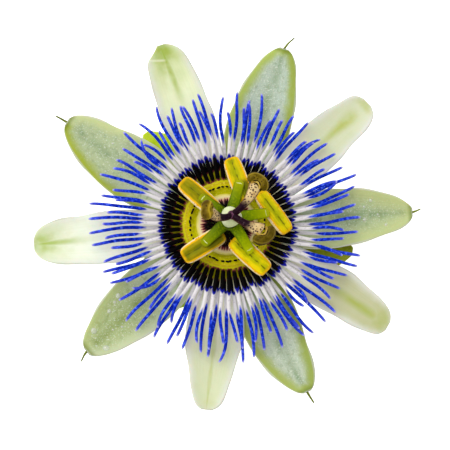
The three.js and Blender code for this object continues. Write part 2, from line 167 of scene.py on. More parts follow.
def tint(red: int, green: int, blue: int) -> Colour:
    """Turns a colour as a screen shows it into the shader's own scale.

    Args:
        red: Its red, 0 to 255.
        green: Its green.
        blue: Its blue.

    Returns:
        The colour, with each number from 0 to 1.
    """

    def linear(value: int) -> float:
        """Straightens one number by the curve that screens share."""
        share = value / 255
        return share / 12.92 if share <= 0.04045 else ((share + 0.055) / 1.055) ** 2.4

    return linear(red), linear(green), linear(blue)


def toned(colour: Colour, share: float) -> Colour:
    """Makes a colour darker, or lighter with a share above 1."""
    return colour[0] * share, colour[1] * share, colour[2] * share


# ---- the bench


class Bench:
    """Hand tools for one piece: they pick its points and run Blender's own operators on them."""

    def __init__(self, piece: bpy.types.Object, name: str) -> None:
        """Takes a piece onto the bench.

        Args:
            piece: The primitive or copy to work on.
            name: The name that it gets.
        """
        self.piece = piece
        piece.name = name
        piece.data.name = name

    @staticmethod
    def clear() -> None:
        """Leaves object mode on and nothing selected."""
        active = bpy.context.view_layer.objects.active
        if active is not None and active.mode != "OBJECT":
            bpy.ops.object.mode_set(mode="OBJECT")
        bpy.ops.object.select_all(action="DESELECT")

    @classmethod
    def added(cls, name: str, primitive: Callable[..., object], **settings: object) -> "Bench":
        """Adds a primitive.

        Args:
            name: The piece's name.
            primitive: Blender's operator that adds it.
            **settings: The operator's settings.

        Returns:
            The bench with the primitive on it.
        """
        cls.clear()
        primitive(**settings)
        return cls(bpy.context.object, name)

    @classmethod
    def ring(cls, name: str, sides: int, filled: bool = True, upright: bool = False) -> "Bench":
        """Adds a ring of points of 1 mm radius.

        Args:
            name: The piece's name.
            sides: How many points it has.
            filled: Whether a face closes it.
            upright: Whether it faces +X rather than +Z.

        Returns:
            The bench with the ring on it.
        """
        turn = math.pi / 2 if upright else 0.0
        fill = "NGON" if filled else "NOTHING"
        bench = cls.added(
            name, bpy.ops.mesh.primitive_circle_add, vertices=sides, radius=MM, fill_type=fill,
            rotation=(0, turn, 0),
        )
        bpy.ops.object.transform_apply(location=True, rotation=True, scale=True)
        return bench

    @classmethod
    def ball(cls, name: str, segments: int, rings: int, size: Sequence[float]) -> "Bench":
        """Adds a ball.

        Args:
            name: The piece's name.
            segments: How many faces it has round Z.
            rings: How many faces it has from pole to pole.
            size: Its half sizes along X, Y and Z.

        Returns:
            The bench with the ball on it.
        """
        bench = cls.added(
            name, bpy.ops.mesh.primitive_uv_sphere_add, segments=segments, ring_count=rings,
            radius=MM,
        )
        bench.piece.scale = size
        bpy.ops.object.transform_apply(location=False, rotation=False, scale=True)
        return bench

    @classmethod
    def joined(cls, name: str, benches: Sequence["Bench"]) -> "Bench":
        """Joins pieces into the first of them.

        Args:
            name: The name of the whole.
            benches: The benches with the pieces.

        Returns:
            The bench with the whole on it.
        """
        whole = benches[0]
        whole.gather(benches[1:])
        whole.piece.name = name
        return whole

    def hold(self) -> None:
        """Makes this piece the only selected one."""
        self.clear()
        self.piece.select_set(True)
        bpy.context.view_layer.objects.active = self.piece

    def open(self) -> None:
        """Starts work on the piece's points, with all of them picked."""
        self.hold()
        bpy.ops.object.mode_set(mode="EDIT")
        bpy.ops.mesh.select_all(action="SELECT")

    def close(self) -> None:
        """Ends work on the piece's points."""
        bpy.ops.object.mode_set(mode="OBJECT")

    def pick(self, wanted: Callable[[bmesh.types.BMVert], bool]) -> None:
        """Picks some of the points, and leaves the others.

        Args:
            wanted: The test that a picked point passes.
        """
        mesh = bmesh.from_edit_mesh(self.piece.data)
        for point in mesh.verts:
            point.select_set(wanted(point))
        mesh.select_flush_mode()
        bmesh.update_edit_mesh(self.piece.data)

    def move(self, x: float = 0.0, y: float = 0.0, z: float = 0.0) -> None:
        """Moves what is picked."""
        bpy.ops.transform.translate(value=(x * MM, y * MM, z * MM))

    def resize(self, x: float, y: float, z: float, about: Sequence[float] = (0, 0, 0)) -> None:
        """Scales what is picked about a point."""
        centre = tuple(c * MM for c in about)
        bpy.ops.transform.resize(value=(x, y, z), center_override=centre)

    def tilt(self, degrees: float, about: Sequence[float]) -> None:
        """Turns what is picked about Y by the right hand; with no window, the operator's is the left."""
        centre, turn = tuple(c * MM for c in about), -math.radians(degrees)
        bpy.ops.transform.rotate(value=turn, orient_axis="Y", center_override=centre)

    def extrude(self, x: float = 0.0, y: float = 0.0, z: float = 0.0) -> None:
        """Draws what is picked out into a new stretch."""
        shift = {"value": (x * MM, y * MM, z * MM)}
        bpy.ops.mesh.extrude_region_move(TRANSFORM_OT_translate=shift)

    def modify(self, kind: str, **settings: object) -> None:
        """Adds a modifier and applies it.

        Args:
            kind: The modifier's type.
            **settings: Its settings.
        """
        self.hold()
        modifier = self.piece.modifiers.new(kind.title(), kind)
        for key, value in settings.items():
            setattr(modifier, key, value)
        bpy.ops.object.modifier_apply(modifier=modifier.name)

    def subdivide(self, levels: int) -> None:
        """Rounds the piece with a subdivision surface."""
        self.modify("SUBSURF", levels=levels, render_levels=levels)

    def sculpt(self, rule: Callable[[Vector], Vector]) -> None:
        """Moves each point, in millimetres, to where a rule puts it."""
        for point in self.piece.data.vertices:
            point.co = rule(point.co / MM) * MM

    def mark(self, name: str, rule: Callable[[Vector], float]) -> None:
        """Stores a number for each point.

        Args:
            name: The name that materials read it by.
            rule: Gives the number from the point's place in millimetres.
        """
        attribute = self.piece.data.attributes.new(name, "FLOAT", "POINT")
        values = [rule(point.co / MM) for point in self.piece.data.vertices]
        attribute.data.foreach_set("value", values)

    def lay_map(self, rule: Callable[[Vector], tuple[float, float]]) -> None:
        """Gives the piece a UV map of its own.

        Args:
            rule: Gives a point's place on the map from its place in millimetres.
        """
        mesh = self.piece.data
        for layer in list(mesh.uv_layers):
            mesh.uv_layers.remove(layer)
        layer = mesh.uv_layers.new(name=SURFACE_MAP)
        places = [rule(point.co / MM) for point in mesh.vertices]
        for corner in mesh.loops:
            layer.data[corner.index].uv = places[corner.vertex_index]

    def face_out(self) -> None:
        """Merges doubled points and turns all faces outwards."""
        self.open()
        bpy.ops.mesh.remove_doubles(threshold=WELD)
        bpy.ops.mesh.normals_make_consistent(inside=False)
        self.close()

    def place(self, at: Vector = Vector(), turns: Sequence[float] = (0, 0, 0)) -> None:
        """Turns and moves the piece, and settles that into its points.

        Args:
            at: Where its origin goes.
            turns: How far it turns about X, then about Y, then about Z.
        """
        self.hold()
        self.piece.rotation_euler = [math.radians(turn) for turn in turns]
        self.piece.location = at * MM
        bpy.ops.object.transform_apply(location=True, rotation=True, scale=True)

    def stand(self, degrees: float = 0.0) -> None:
        """Puts a piece that was made round the world's origin round the flower's axis."""
        self.place(AXIS, (0, 0, degrees))

    def copy(self, name: str) -> "Bench":
        """Makes a copy with a mesh of its own.

        Args:
            name: The copy's name.

        Returns:
            The bench with the copy on it.
        """
        twin = self.piece.copy()
        twin.data = self.piece.data.copy()
        bpy.context.collection.objects.link(twin)
        return Bench(twin, name)

    def gather(self, others: Sequence["Bench"]) -> None:
        """Joins other pieces into this one.

        Args:
            others: The benches with those pieces.
        """
        self.hold()
        for other in others:
            other.piece.select_set(True)
        bpy.ops.object.join()

    def scrap(self) -> None:
        """Removes the piece."""
        mesh = self.piece.data
        bpy.data.objects.remove(self.piece)
        bpy.data.meshes.remove(mesh)

    def fit(self, finish: Material, slot: str, *nodes: str, crease: float = 60.0) -> None:
        """Finishes the piece, shades it smooth, and fixes it to the flower.

        Args:
            finish: Its material.
            slot: Not used.
            *nodes: The solids that it stands for.
            crease: The angle past which an edge stays sharp.
        """
        self.hold()
        self.piece.data.materials.clear()
        self.piece.data.materials.append(finish)
        bpy.ops.object.shade_smooth_by_angle(angle=math.radians(crease))
        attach(self.piece, BODY)
        if nodes:
            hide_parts(*nodes)
        LOG.info("%s: %d faces", self.piece.name, len(self.piece.data.polygons))


def turned(name: str, profile: Points, sides: int) -> Bench:
    """Makes a round piece about +Z from points of radius and height.

    Args:
        name: The piece's name.
        profile: The points. A solid's start on the axis, and a hollow ring's come back to the first.
        sides: How many points are in each ring.

    Returns:
        The bench with the piece on it.
    """
    solid = profile[0][0] == 0
    points = [p for p in profile if p[0] > 0]
    bench = Bench.ring(name, sides, filled=solid)
    bench.open()
    radius, height = points[0]
    bench.resize(radius, radius, 1)
    bench.move(z=height)
    for wide, high in points[1:]:
        bench.extrude(z=high - height)
        bench.resize(wide / radius, wide / radius, 1, (0, 0, high))
        radius, height = wide, high
    bench.close()
    bench.face_out()
    return bench


@dataclass(frozen=True)
class Station:
    """One section of a drawn-out piece whose line lies in the XZ plane."""

    x: float
    z: float
    width: float
    height: float


def drawn(name: str, stations: Sequence[Station], section: Points | int) -> Bench:
    """Draws a section out along a line of stations, square to the line.

    Args:
        name: The piece's name.
        stations: Where the sections stand, and how wide and high they are.
        section: The section's own points, as shares of half its width and height, or how many
            points an oval one has.

    Returns:
        The bench with the piece on it.
    """
    count = section if isinstance(section, int) else len(section)
    bench = Bench.ring(name, count, upright=True)
    bench.open()
    if not isinstance(section, int):
        places = {point.index: point.co / MM for point in bench.piece.data.vertices}
        for index, (y, z) in enumerate(section):
            bench.pick(lambda point, index=index: point.index == index)
            bench.move(y=y - places[index].y, z=z - places[index].z)
        bench.pick(lambda point: True)
    last = len(stations) - 1
    before, slope = Station(0, 0, 2, 2), 0.0
    for i, here in enumerate(stations):
        a, b = stations[max(i - 1, 0)], stations[min(i + 1, last)]
        lean = -math.degrees(math.atan2(b.z - a.z, b.x - a.x))
        about = (here.x, 0, here.z)
        if i == 0:
            bench.move(here.x, 0, here.z)
        else:
            bench.extrude(here.x - before.x, 0, here.z - before.z)
            bench.tilt(-slope, about)
        bench.resize(1, here.width / before.width, here.height / before.height, about)
        bench.tilt(lean, about)
        before, slope = here, lean
    bench.close()
    bench.face_out()
    return bench


def domed(stations: Sequence[Station]) -> list[Station]:
    """Adds small sections to both ends of a line, so that they come out round.

    Args:
        stations: The line.

    Returns:
        The longer line.
    """

    def dome(end: Station, inner: Station) -> list[Station]:
        """Rounds one end.

        Args:
            end: The station at that end.
            inner: The station next to it.

        Returns:
            The sections past the end, from the largest to the smallest.
        """
        away = Vector((end.x - inner.x, end.z - inner.z)).normalized() * end.height / 2 * DOME_REACH
        return [
            Station(end.x + away.x * out, end.z + away.y * out, end.width * size, end.height * size)
            for out, size in DOME_STEPS
        ]

    head = dome(stations[0], stations[1])
    tail = dome(stations[-1], stations[-2])
    return [*reversed(head), *stations, *tail]


# ---- wiring of materials


class Wiring:
    """Adds and joins the nodes of one tree."""

    def __init__(self, tree: Tree) -> None:
        """Takes the tree to work on."""
        self.tree = tree

    def add(
        self, kind: str, feeds: dict[str | int, Feed] | None = None, **settings: object
    ) -> Node:
        """Adds a node.

        Args:
            kind: The node's type, without ShaderNode.
            feeds: What goes into its inputs, by name or number: a value, or a socket to join.
            **settings: Its own settings.

        Returns:
            The node.
        """
        node = self.tree.nodes.new("ShaderNode" + kind)
        for key, value in settings.items():
            setattr(node, key, value)
        for key, value in (feeds or {}).items():
            self.put(node.inputs[key], value)
        return node

    def put(self, socket: Socket, value: Feed) -> None:
        """Feeds one input.

        Args:
            socket: The input.
            value: The value that it gets, or the socket to join to it.
        """
        if isinstance(value, Socket):
            self.tree.links.new(value, socket)
        else:
            socket.default_value = value

    def feed(self, node: Node, **feeds: Feed) -> None:
        """Feeds a node's inputs.

        Args:
            node: The node.
            **feeds: What goes into them, by their names in small letters with underscores: a
                socket to join, a value, or a colour.
        """
        for key, value in feeds.items():
            socket = next(s for s in node.inputs if s.name.lower().replace(" ", "_") == key)
            self.put(socket, (*value, 1.0) if isinstance(value, tuple) else value)

    def math(self, operation: str, a: Feed, b: Feed = 0.0) -> Socket:
        """Adds a sum on numbers."""
        return self.add("Math", {0: a, 1: b}, operation=operation).outputs[0]

    def plus(self, a: Feed, b: Feed) -> Socket:
        """Adds two numbers up."""
        return self.math("ADD", a, b)

    def minus(self, a: Feed, b: Feed) -> Socket:
        """Takes the second number from the first."""
        return self.math("SUBTRACT", a, b)

    def times(self, first: Feed, *others: Feed) -> Socket:
        """Multiplies numbers.

        Args:
            first: The first of them.
            *others: The others.

        Returns:
            Their product.
        """
        for other in others:
            first = self.math("MULTIPLY", first, other)
        return first

    def off(self, value: Feed, middle: float) -> Socket:
        """Gives how far a number is from a middle one."""
        return self.math("ABSOLUTE", self.minus(value, middle))

    def drift(self, cloud: Socket, amount: Feed) -> Socket:
        """Turns a cloudy pattern into a shift to both sides of 0."""
        return self.times(self.minus(cloud, 0.5), amount)

    def vector(self, operation: str, a: Feed, b: Feed) -> Socket:
        """Adds a sum on vectors, and gives its vector."""
        return self.add("VectorMath", {0: a, 1: b}, operation=operation).outputs["Vector"]

    def length(self, vector: Socket) -> Socket:
        """Gives a vector's length in millimetres."""
        metres = self.add("VectorMath", {0: vector}, operation="LENGTH").outputs["Value"]
        return self.times(metres, 1 / MM)

    def mix(self, share: Feed, a: Feed, b: Feed) -> Socket:
        """Mixes two colours."""
        pair = [(*c, 1.0) if isinstance(c, tuple) else c for c in (a, b)]
        return self.add("Mix", {0: share, 6: pair[0], 7: pair[1]}, data_type="RGBA").outputs[2]

    def paint(self, base: Feed, *coats: tuple[Feed, Feed]) -> Socket:
        """Lays colours over a first one.

        Args:
            base: The first colour.
            *coats: The colours over it, from the lowest to the highest, each after the share of
                the surface that it covers.

        Returns:
            The colour that they make.
        """
        for share, colour in coats:
            base = self.mix(share, base, colour)
        return base

    def span(self, value: Feed, low: Feed, high: Feed, start: Feed = 0.0, end: Feed = 1.0) -> Socket:
        """Maps a number smoothly from low..high to start..end."""
        feeds = {0: value, 1: low, 2: high, 3: start, 4: end}
        return self.add("MapRange", feeds, interpolation_type="SMOOTHSTEP").outputs[0]

    def noise(self, place: Socket, scale: Feed, detail: float = 2.0) -> Socket:
        """Adds a cloudy pattern that runs from 0 to 1."""
        feeds = {"Vector": place, "Scale": scale, "Detail": detail}
        return self.add("TexNoise", feeds).outputs[0]

    def ramp(self, value: Socket, stops: Sequence[tuple[float, Colour]]) -> Socket:
        """Turns a number into a colour.

        Args:
            value: The number, from 0 to the last stop's place.
            stops: The places of the colours, rising, each with its colour.

        Returns:
            The colour.
        """
        far = stops[-1][0]
        node = self.add("ValToRGB", {0: self.times(value, 1 / far)})
        elements = node.color_ramp.elements
        while len(elements) < len(stops):
            elements.new(0.5)
        for element, (at, _) in zip(elements, stops, strict=True):
            element.position = at / far
        for element, (_, colour) in zip(elements, stops, strict=True):
            element.color = (*colour, 1.0)
        return node.outputs[0]

    @cached_property
    def place(self) -> Socket:
        """The place on the object."""
        return self.add("TexCoord").outputs["Object"]

    def ways(self) -> tuple[Socket, Socket, Socket]:
        """Reads the piece's own UV map.

        Returns:
            The place on the map, and the shares of the way along it and across it.
        """
        flat = self.add("UVMap", uv_map=SURFACE_MAP).outputs[0]
        parts = self.add("SeparateXYZ", {0: flat}).outputs
        return flat, parts[0], parts[1]

    def mark(self, name: str) -> Socket:
        """Gives a number that is stored on the piece's points."""
        return self.add("Attribute", attribute_name=name).outputs["Fac"]

    def group(self, tree: Tree, **feeds: Feed) -> bpy.types.NodeOutputs:
        """Places a shared effect.

        Args:
            tree: The effect's node group.
            **feeds: What goes into its inputs, by their names in small letters.

        Returns:
            Its outputs.
        """
        node = self.add("Group", node_tree=tree)
        self.feed(node, **feeds)
        return node.outputs

    def bump(self, height: Socket, strength: float, depth: float) -> Socket:
        """Turns heights into a normal; the depth is in millimetres."""
        feeds = {"Height": height, "Strength": strength, "Distance": depth * MM}
        return self.add("Bump", feeds).outputs[0]


class Effects:
    """The effects that several finishes share, each a node group that is made once."""

    @staticmethod
    def start(
        name: str, inputs: dict[str, str], outputs: dict[str, str]
    ) -> tuple[Wiring, bpy.types.NodeOutputs, Node]:
        """Makes an empty group.

        Args:
            name: The group's name.
            inputs: Its inputs, each with a kind of socket.
            outputs: Its outputs, each with a kind of socket.

        Returns:
            Its wiring, the sockets of its inputs, and the node that takes its outputs.
        """
        tree = bpy.data.node_groups.new(name, "ShaderNodeTree")
        for side, sockets in (("INPUT", inputs), ("OUTPUT", outputs)):
            for key, kind in sockets.items():
                tree.interface.new_socket(name=key, in_out=side, socket_type="NodeSocket" + kind)
        given = tree.nodes.new("NodeGroupInput").outputs
        return Wiring(tree), given, tree.nodes.new("NodeGroupOutput")

    @staticmethod
    @cache
    def radius() -> Tree:
        """The distance from the flower's axis in millimetres, a little uneven.

        Returns:
            The node group.
        """
        inputs = {"Place": "Vector", "Uneven": "Float", "Grain": "Float"}
        w, given, result = Effects.start("radius", inputs, {"Radius": "Float"})
        flat = w.vector("MULTIPLY", w.vector("SUBTRACT", given["Place"], AXIS * MM), (1, 1, 0))
        uneven = w.drift(w.noise(given["Place"], given["Grain"]), given["Uneven"])
        w.feed(result, radius=w.plus(w.length(flat), uneven))
        return w.tree

    @staticmethod
    @cache
    def veins() -> Tree:
        """Fine lines along a piece's own map, from 0 between them to 1 on them.

        Returns:
            The node group.
        """
        inputs = {"Map": "Vector", "Along": "Float", "Across": "Float"}
        w, given, result = Effects.start("veins", inputs, {"Lines": "Float"})
        stretch = w.add("CombineXYZ", {0: given["Along"], 1: given["Across"], 2: 0.0})
        place = w.vector("MULTIPLY", given["Map"], stretch.outputs[0])
        w.feed(result, lines=w.span(w.noise(place, 1.0, 3.0), 0.36, 0.66))
        return w.tree

    @staticmethod
    @cache
    def grain() -> Tree:
        """Tiny blisters, as on a petal's skin, as heights and as bright specks.

        Returns:
            The node group.
        """
        inputs = {"Place": "Vector", "Scale": "Float", "Level": "Float"}
        w, given, result = Effects.start("grain", inputs, {"Height": "Float", "Specks": "Float"})
        height = w.noise(given["Place"], given["Scale"])
        specks = w.span(height, given["Level"], w.plus(given["Level"], 0.12))
        w.feed(result, height=height, specks=specks)
        return w.tree

    @staticmethod
    @cache
    def dots() -> Tree:
        """Ragged dots that gather in some places and are absent in others.

        Returns:
            The node group.
        """
        inputs = {"Place": "Vector", "Scale": "Float", "Size": "Float"}
        w, given, result = Effects.start("dots", inputs, {"Dots": "Float"})
        cloud = w.noise(given["Place"], w.times(given["Scale"], 1.7))
        cells = w.add("TexVoronoi", {"Vector": given["Place"], "Scale": given["Scale"]})
        reach = w.plus(cells.outputs["Distance"], w.times(cloud, 0.35))
        size = w.plus(given["Size"], 0.17)
        w.feed(result, dots=w.span(reach, size, w.minus(size, 0.12)))
        return w.tree


def finish_tree(name: str) -> tuple[Material, Wiring, Node]:
    """Makes a material with only a Principled shader.

    Args:
        name: The material's name.

    Returns:
        The material, its wiring, and the shader.
    """
    material = bpy.data.materials.new(name)
    material.use_nodes = True
    shader = material.node_tree.nodes["Principled BSDF"]
    return material, Wiring(material.node_tree), shader


# ---- finishes


@dataclass(frozen=True)
class PetalFinish:
    """Creamy white petal skin with a green streak on its midrib.

    A streak with a flare above 1 starts that much narrower than it ends.
    """

    name: str
    body: Colour
    streak: Colour
    root: Colour = tint(206, 212, 120)
    # Painted light near the root, where the corona shades the petal.
    painted_light_under_corona: Colour = tint(250, 252, 226)
    rim: Colour = tint(218, 222, 216)
    edge: Colour = tint(180, 184, 172)
    # fold: colour of a painted highlight along a crease near the tip.
    fold: Colour = tint(238, 242, 218)
    streak_width: float = 0.22
    streak_start: float = 0.55
    streak_end: float = 1.2
    streak_strength: float = 0.8
    flare: float = 1.0
    tip_from: float = 0.88
    tip_strength: float = 0.5
    pale_edge: float = 0.7
    # The crease fields place that painted highlight and set its strength.
    crease: float = 0.0
    crease_at: float = 0.865
    crease_slant: float = 0.06
    crease_from: float = 0.45
    crease_width: float = 0.008

    def make(self) -> Material:
        """Builds the material from the blade's own map and its distance from the edge.

        Returns:
            The material.
        """
        material, w, shader = finish_tree(self.name)
        flat, along, across = w.ways()
        cloud, mottle = w.noise(w.place, 260.0, 3.0), w.noise(w.place, 620.0, 4.0)
        lines = w.group(Effects.veins(), map=flat, along=1.6, across=22.0)[0]
        blisters = w.group(Effects.grain(), place=w.place, scale=2600.0, level=0.6)[0]
        off = w.plus(w.off(across, 0.5), w.drift(cloud, 0.1))
        edge = w.mark("edge")
        thin = w.span(w.plus(edge, w.times(cloud, 1.4)), 3.0, 0.5)
        colour = w.paint(
            self.body,
            # Painted light near the root, under the corona's shade.
            (w.span(along, 0.62, 0.3), self.painted_light_under_corona),
            (w.span(along, 0.16, 0.04), self.root),
            (w.times(w.span(mottle, 0.44, 0.66), 0.05), self.streak),
            (w.times(thin, self.pale_edge), self.rim),
            (self.green(w, along, off, cloud), self.streak),
            (w.times(lines, 0.05), self.streak),
            (self.folded(w, along, across, mottle), self.fold),
            (w.times(w.span(edge, 0.35, 0.1), 0.5), self.edge),
        )
        height = w.plus(w.times(lines, 0.3), w.times(blisters, 0.5))
        w.feed(
            shader, base_color=colour, roughness=w.span(cloud, 0.2, 0.8, 0.42, 0.62),
            normal=w.bump(height, 0.5, 0.09), subsurface_weight=0.12, subsurface_scale=0.0015,
            specular_ior_level=0.2,
        )
        return material

    def green(self, w: Wiring, along: Socket, off: Socket, cloud: Socket) -> Socket:
        """Wires how green the skin is, from the streak on the midrib and the flush at the tip.

        Args:
            w: The material's wiring.
            along: The share of the way along the blade.
            off: How far it is to the midrib, as a share of the blade's width.
            cloud: The pattern that makes both uneven.

        Returns:
            The share of green.
        """
        start, end = self.streak_start, self.streak_end
        rib = w.span(w.times(off, w.span(along, start, end, self.flare, 1.0)), self.streak_width, 0.0)
        reach = w.times(w.span(along, start, start + 0.35), w.span(along, end, end - 0.08))
        streak = w.times(rib, reach, w.span(cloud, 0.25, 0.6, 0.55, 1.0))
        tip = w.times(w.span(w.plus(along, w.drift(cloud, 0.2)), self.tip_from, 1.02), self.tip_strength)
        tip = w.times(tip, w.span(off, 0.5, 0.12, 0.3, 1.0), w.span(cloud, 0.3, 0.6, 0.75, 1.0))
        return w.times(w.math("MAXIMUM", streak, tip), self.streak_strength)

    def folded(self, w: Wiring, along: Socket, across: Socket, mottle: Socket) -> Socket:
        """Wires where a painted highlight, a light line along a crease, lies across the blade near its
        tip.

        Args:
            w: The material's wiring.
            along: The share of the way along the blade.
            across: The share of the way across it.
            mottle: The pattern that makes the line uneven.

        Returns:
            The line's strength.
        """
        line = w.minus(along, w.times(across, self.crease_slant))
        crease = w.times(w.span(w.off(line, self.crease_at), self.crease_width, 0.001), self.crease)
        start = self.crease_from
        reach = w.times(w.span(across, start, start + 0.15), w.span(across, 0.95, 0.86))
        return w.times(crease, reach, w.span(mottle, 0.35, 0.55, 0.5, 1.0))


@dataclass(frozen=True)
class SepalFinish:
    """Frosted grey-green sepal skin with a yellow-green margin."""

    name: str
    centre: Colour
    margin: Colour
    far_margin: Colour
    shade: Colour = tint(128, 150, 108)
    margin_width: float = 1.9
    softness: float = 1.1
    # inner: painted light near the root, where the corona shades the sepal.
    inner: Colour = tint(206, 220, 178)
    frost: Colour = tint(226, 234, 218)
    tip: Colour = tint(112, 128, 36)
    rim: Colour = tint(204, 207, 202)

    def make(self) -> Material:
        """Builds the material from the blade's own map and its distance from the edge.

        Returns:
            The material.
        """
        material, w, shader = finish_tree(self.name)
        flat, along, across = w.ways()
        cloud, blotch = w.noise(w.place, 330.0, 3.0), w.noise(w.place, 900.0, 3.0)
        lines = w.group(Effects.veins(), map=flat, along=1.4, across=22.0)[0]
        frost = w.group(Effects.grain(), place=w.place, scale=2900.0, level=0.56)
        rib = w.times(w.span(w.off(across, 0.5), 0.16, 0.0), w.span(cloud, 0.3, 0.7, 0.3, 1.0))
        rim = w.mark("edge")
        wide, soft = self.margin_width, self.softness
        green = w.span(w.plus(rim, w.drift(cloud, 2.0)), wide * (0.9 + soft), wide * (0.9 - soft / 2))
        green = w.math("MAXIMUM", green, w.times(w.span(along, 0.93, 1.0), 0.9))
        margin = w.mix(w.span(across, 0.35, 0.65), self.far_margin, self.margin)
        colour = w.paint(
            self.centre,
            # Painted light near the root, under the corona's shade.
            (w.span(along, 0.6, 0.35), self.inner),
            (w.times(rib, 0.75), self.shade),
            (w.times(w.span(blotch, 0.5, 0.68), 0.4), self.shade),
            (w.times(lines, 0.06), self.shade),
            # Bright specks: partly the skin's frosted bloom, partly painted glints.
            (w.times(frost[1], 0.5), self.frost),
            (w.times(green, 0.92), margin),
            (w.times(w.span(along, 0.955, 0.99), 0.7), self.tip),
            (w.times(w.span(rim, 0.6, 0.1), 0.6), self.rim),
        )
        height = w.plus(w.times(frost[0], 0.8), w.times(lines, 0.4))
        w.feed(
            shader, base_color=colour, roughness=w.span(cloud, 0.2, 0.8, 0.45, 0.65),
            normal=w.bump(height, 0.6, 0.14), subsurface_weight=0.08, subsurface_scale=0.0015,
            specular_ior_level=0.2,
        )
        return material


@dataclass(frozen=True)
class LeafFinish:
    """Fresh green skin with a net of veins, for the bracts, the cup and the stalk."""

    name: str
    body: Colour
    pale: Colour
    net_scale: float = 420.0

    def make(self) -> Material:
        """Builds the material from the place on the piece.

        Returns:
            The material.
        """
        material, w, shader = finish_tree(self.name)
        cloud = w.noise(w.place, 180.0, 4.0)
        cells = {"Vector": w.place, "Scale": self.net_scale}
        net = w.add("TexVoronoi", cells, feature="DISTANCE_TO_EDGE")
        vein = w.span(net.outputs[0], 0.09, 0.0)
        grain = w.group(Effects.grain(), place=w.place, scale=2400.0, level=0.58)[0]
        colour = w.paint(
            self.body, (w.span(cloud, 0.3, 0.7), self.pale), (w.times(vein, 0.45), self.pale)
        )
        height = w.plus(w.times(vein, -0.5), w.times(grain, 0.5))
        w.feed(
            shader, base_color=colour, roughness=w.span(cloud, 0.2, 0.8, 0.4, 0.6),
            normal=w.bump(height, 0.5, 0.12), subsurface_weight=0.06, subsurface_scale=0.001,
            specular_ior_level=0.15,
        )
        return material


@dataclass(frozen=True)
class CoronaFinish:
    """Filament skin in bands round the axis: yellow-green, near-black, white, and violet-blue."""

    name: str
    dark_from: float
    # Share across past which the painted light lines on the filaments' sides start.
    lit_gap_line: float
    white_from: float = 16.2
    blue_from: float = 19.65
    root: Colour = tint(196, 190, 16)
    wine: Colour = tint(126, 46, 56)
    dark: Colour = tint(3, 1, 2)
    indigo: Colour = tint(18, 22, 150)
    white: Colour = tint(226, 222, 224)
    grey: Colour = tint(204, 198, 206)
    blue: Colour = tint(8, 36, 168)
    bright_blue: Colour = tint(30, 68, 222)
    light_blue: Colour = tint(96, 126, 246)
    end: Colour = tint(96, 106, 240)
    tip: Colour = tint(196, 192, 240)

    def make(self) -> Material:
        """Builds the material from the distance to the axis and from the marks on a filament.

        The marks are how far along it a point is, how far across it from -1 to 1, and a number of
        the filament's own that shifts its bands.

        Returns:
            The material.
        """
        material, w, shader = finish_tree(self.name)
        radius = w.group(Effects.radius(), place=w.place, uneven=1.3, grain=650.0)[0]
        side, own, along = w.mark("side"), w.mark("own"), w.mark("along")
        across = w.times(side, side)
        root = w.minus(w.minus(radius, w.times(across, 0.5)), w.times(own, 0.25))
        inner = w.plus(w.plus(radius, w.times(across, 0.8)), w.times(own, 0.55))
        outer = w.plus(w.minus(radius, w.times(across, 1.8)), w.times(own, 1.1))
        streaks = w.noise(w.place, 1500.0)
        dark, line, white, blue = self.dark_from, self.lit_gap_line, self.white_from, self.blue_from
        # Painted light: pale lines along the lower row's sides stand for the lit petals seen between the
        # filaments.
        pale = w.times(w.span(side, line, line + 0.15), w.span(root, dark - 0.6, dark))
        lit_gap_colour = w.mix(w.span(radius, 11.5, 14.5), tint(216, 210, 60), tint(255, 252, 216))
        blues = w.paint(
            self.blue,
            (w.span(streaks, 0.42, 0.62), self.bright_blue),
            (w.times(w.span(streaks, 0.58, 0.7), 0.7), self.light_blue),
        )
        colour = w.paint(
            self.root,
            (w.span(root, dark - 0.35, dark + 0.1), self.wine),
            (w.span(root, dark, dark + 0.5), self.dark),
            (pale, lit_gap_colour),
            (w.span(inner, white - 0.7, white - 0.3), self.indigo),
            (w.span(inner, white, white + 0.6), self.white),
            (w.times(w.span(streaks, 0.55, 0.7), w.span(inner, white, white + 1)), self.grey),
            (w.span(outer, blue - 0.5, blue + 0.9), blues),
            (w.times(w.span(along, 0.8, 0.98), 0.4), self.end),
            (w.times(w.span(along, 0.965, 1.0), 0.75), self.tip),
        )
        grain = w.group(Effects.grain(), place=w.place, scale=3600.0, level=0.55)[0]
        w.feed(
            shader, base_color=colour, roughness=0.6, specular_ior_level=0.04,
            normal=w.bump(grain, 0.6, 0.12),
        )
        return material


@dataclass(frozen=True)
class RingFinish:
    """Moist skin in rings round the axis, for the throat, operculum, fringe and column."""

    name: str
    stops: tuple[tuple[float, Colour], ...]
    speck: Colour
    uneven: float = 0.5
    ridge: float = 0.4
    roughness: float = 0.4
    gloss: float = 0.06
    speck_share: float = 0.2

    def make(self) -> Material:
        """Builds the material from the distance to the axis.

        Returns:
            The material.
        """
        material, w, shader = finish_tree(self.name)
        radius = w.group(Effects.radius(), place=w.place, uneven=self.uneven, grain=900.0)[0]
        grain = w.group(Effects.grain(), place=w.place, scale=2200.0, level=0.54)
        colour = w.mix(w.times(grain[1], self.speck_share), w.ramp(radius, self.stops), self.speck)
        w.feed(
            shader, base_color=colour, roughness=self.roughness,
            normal=w.bump(grain[0], self.ridge, 0.12), specular_ior_level=self.gloss,
        )
        return material


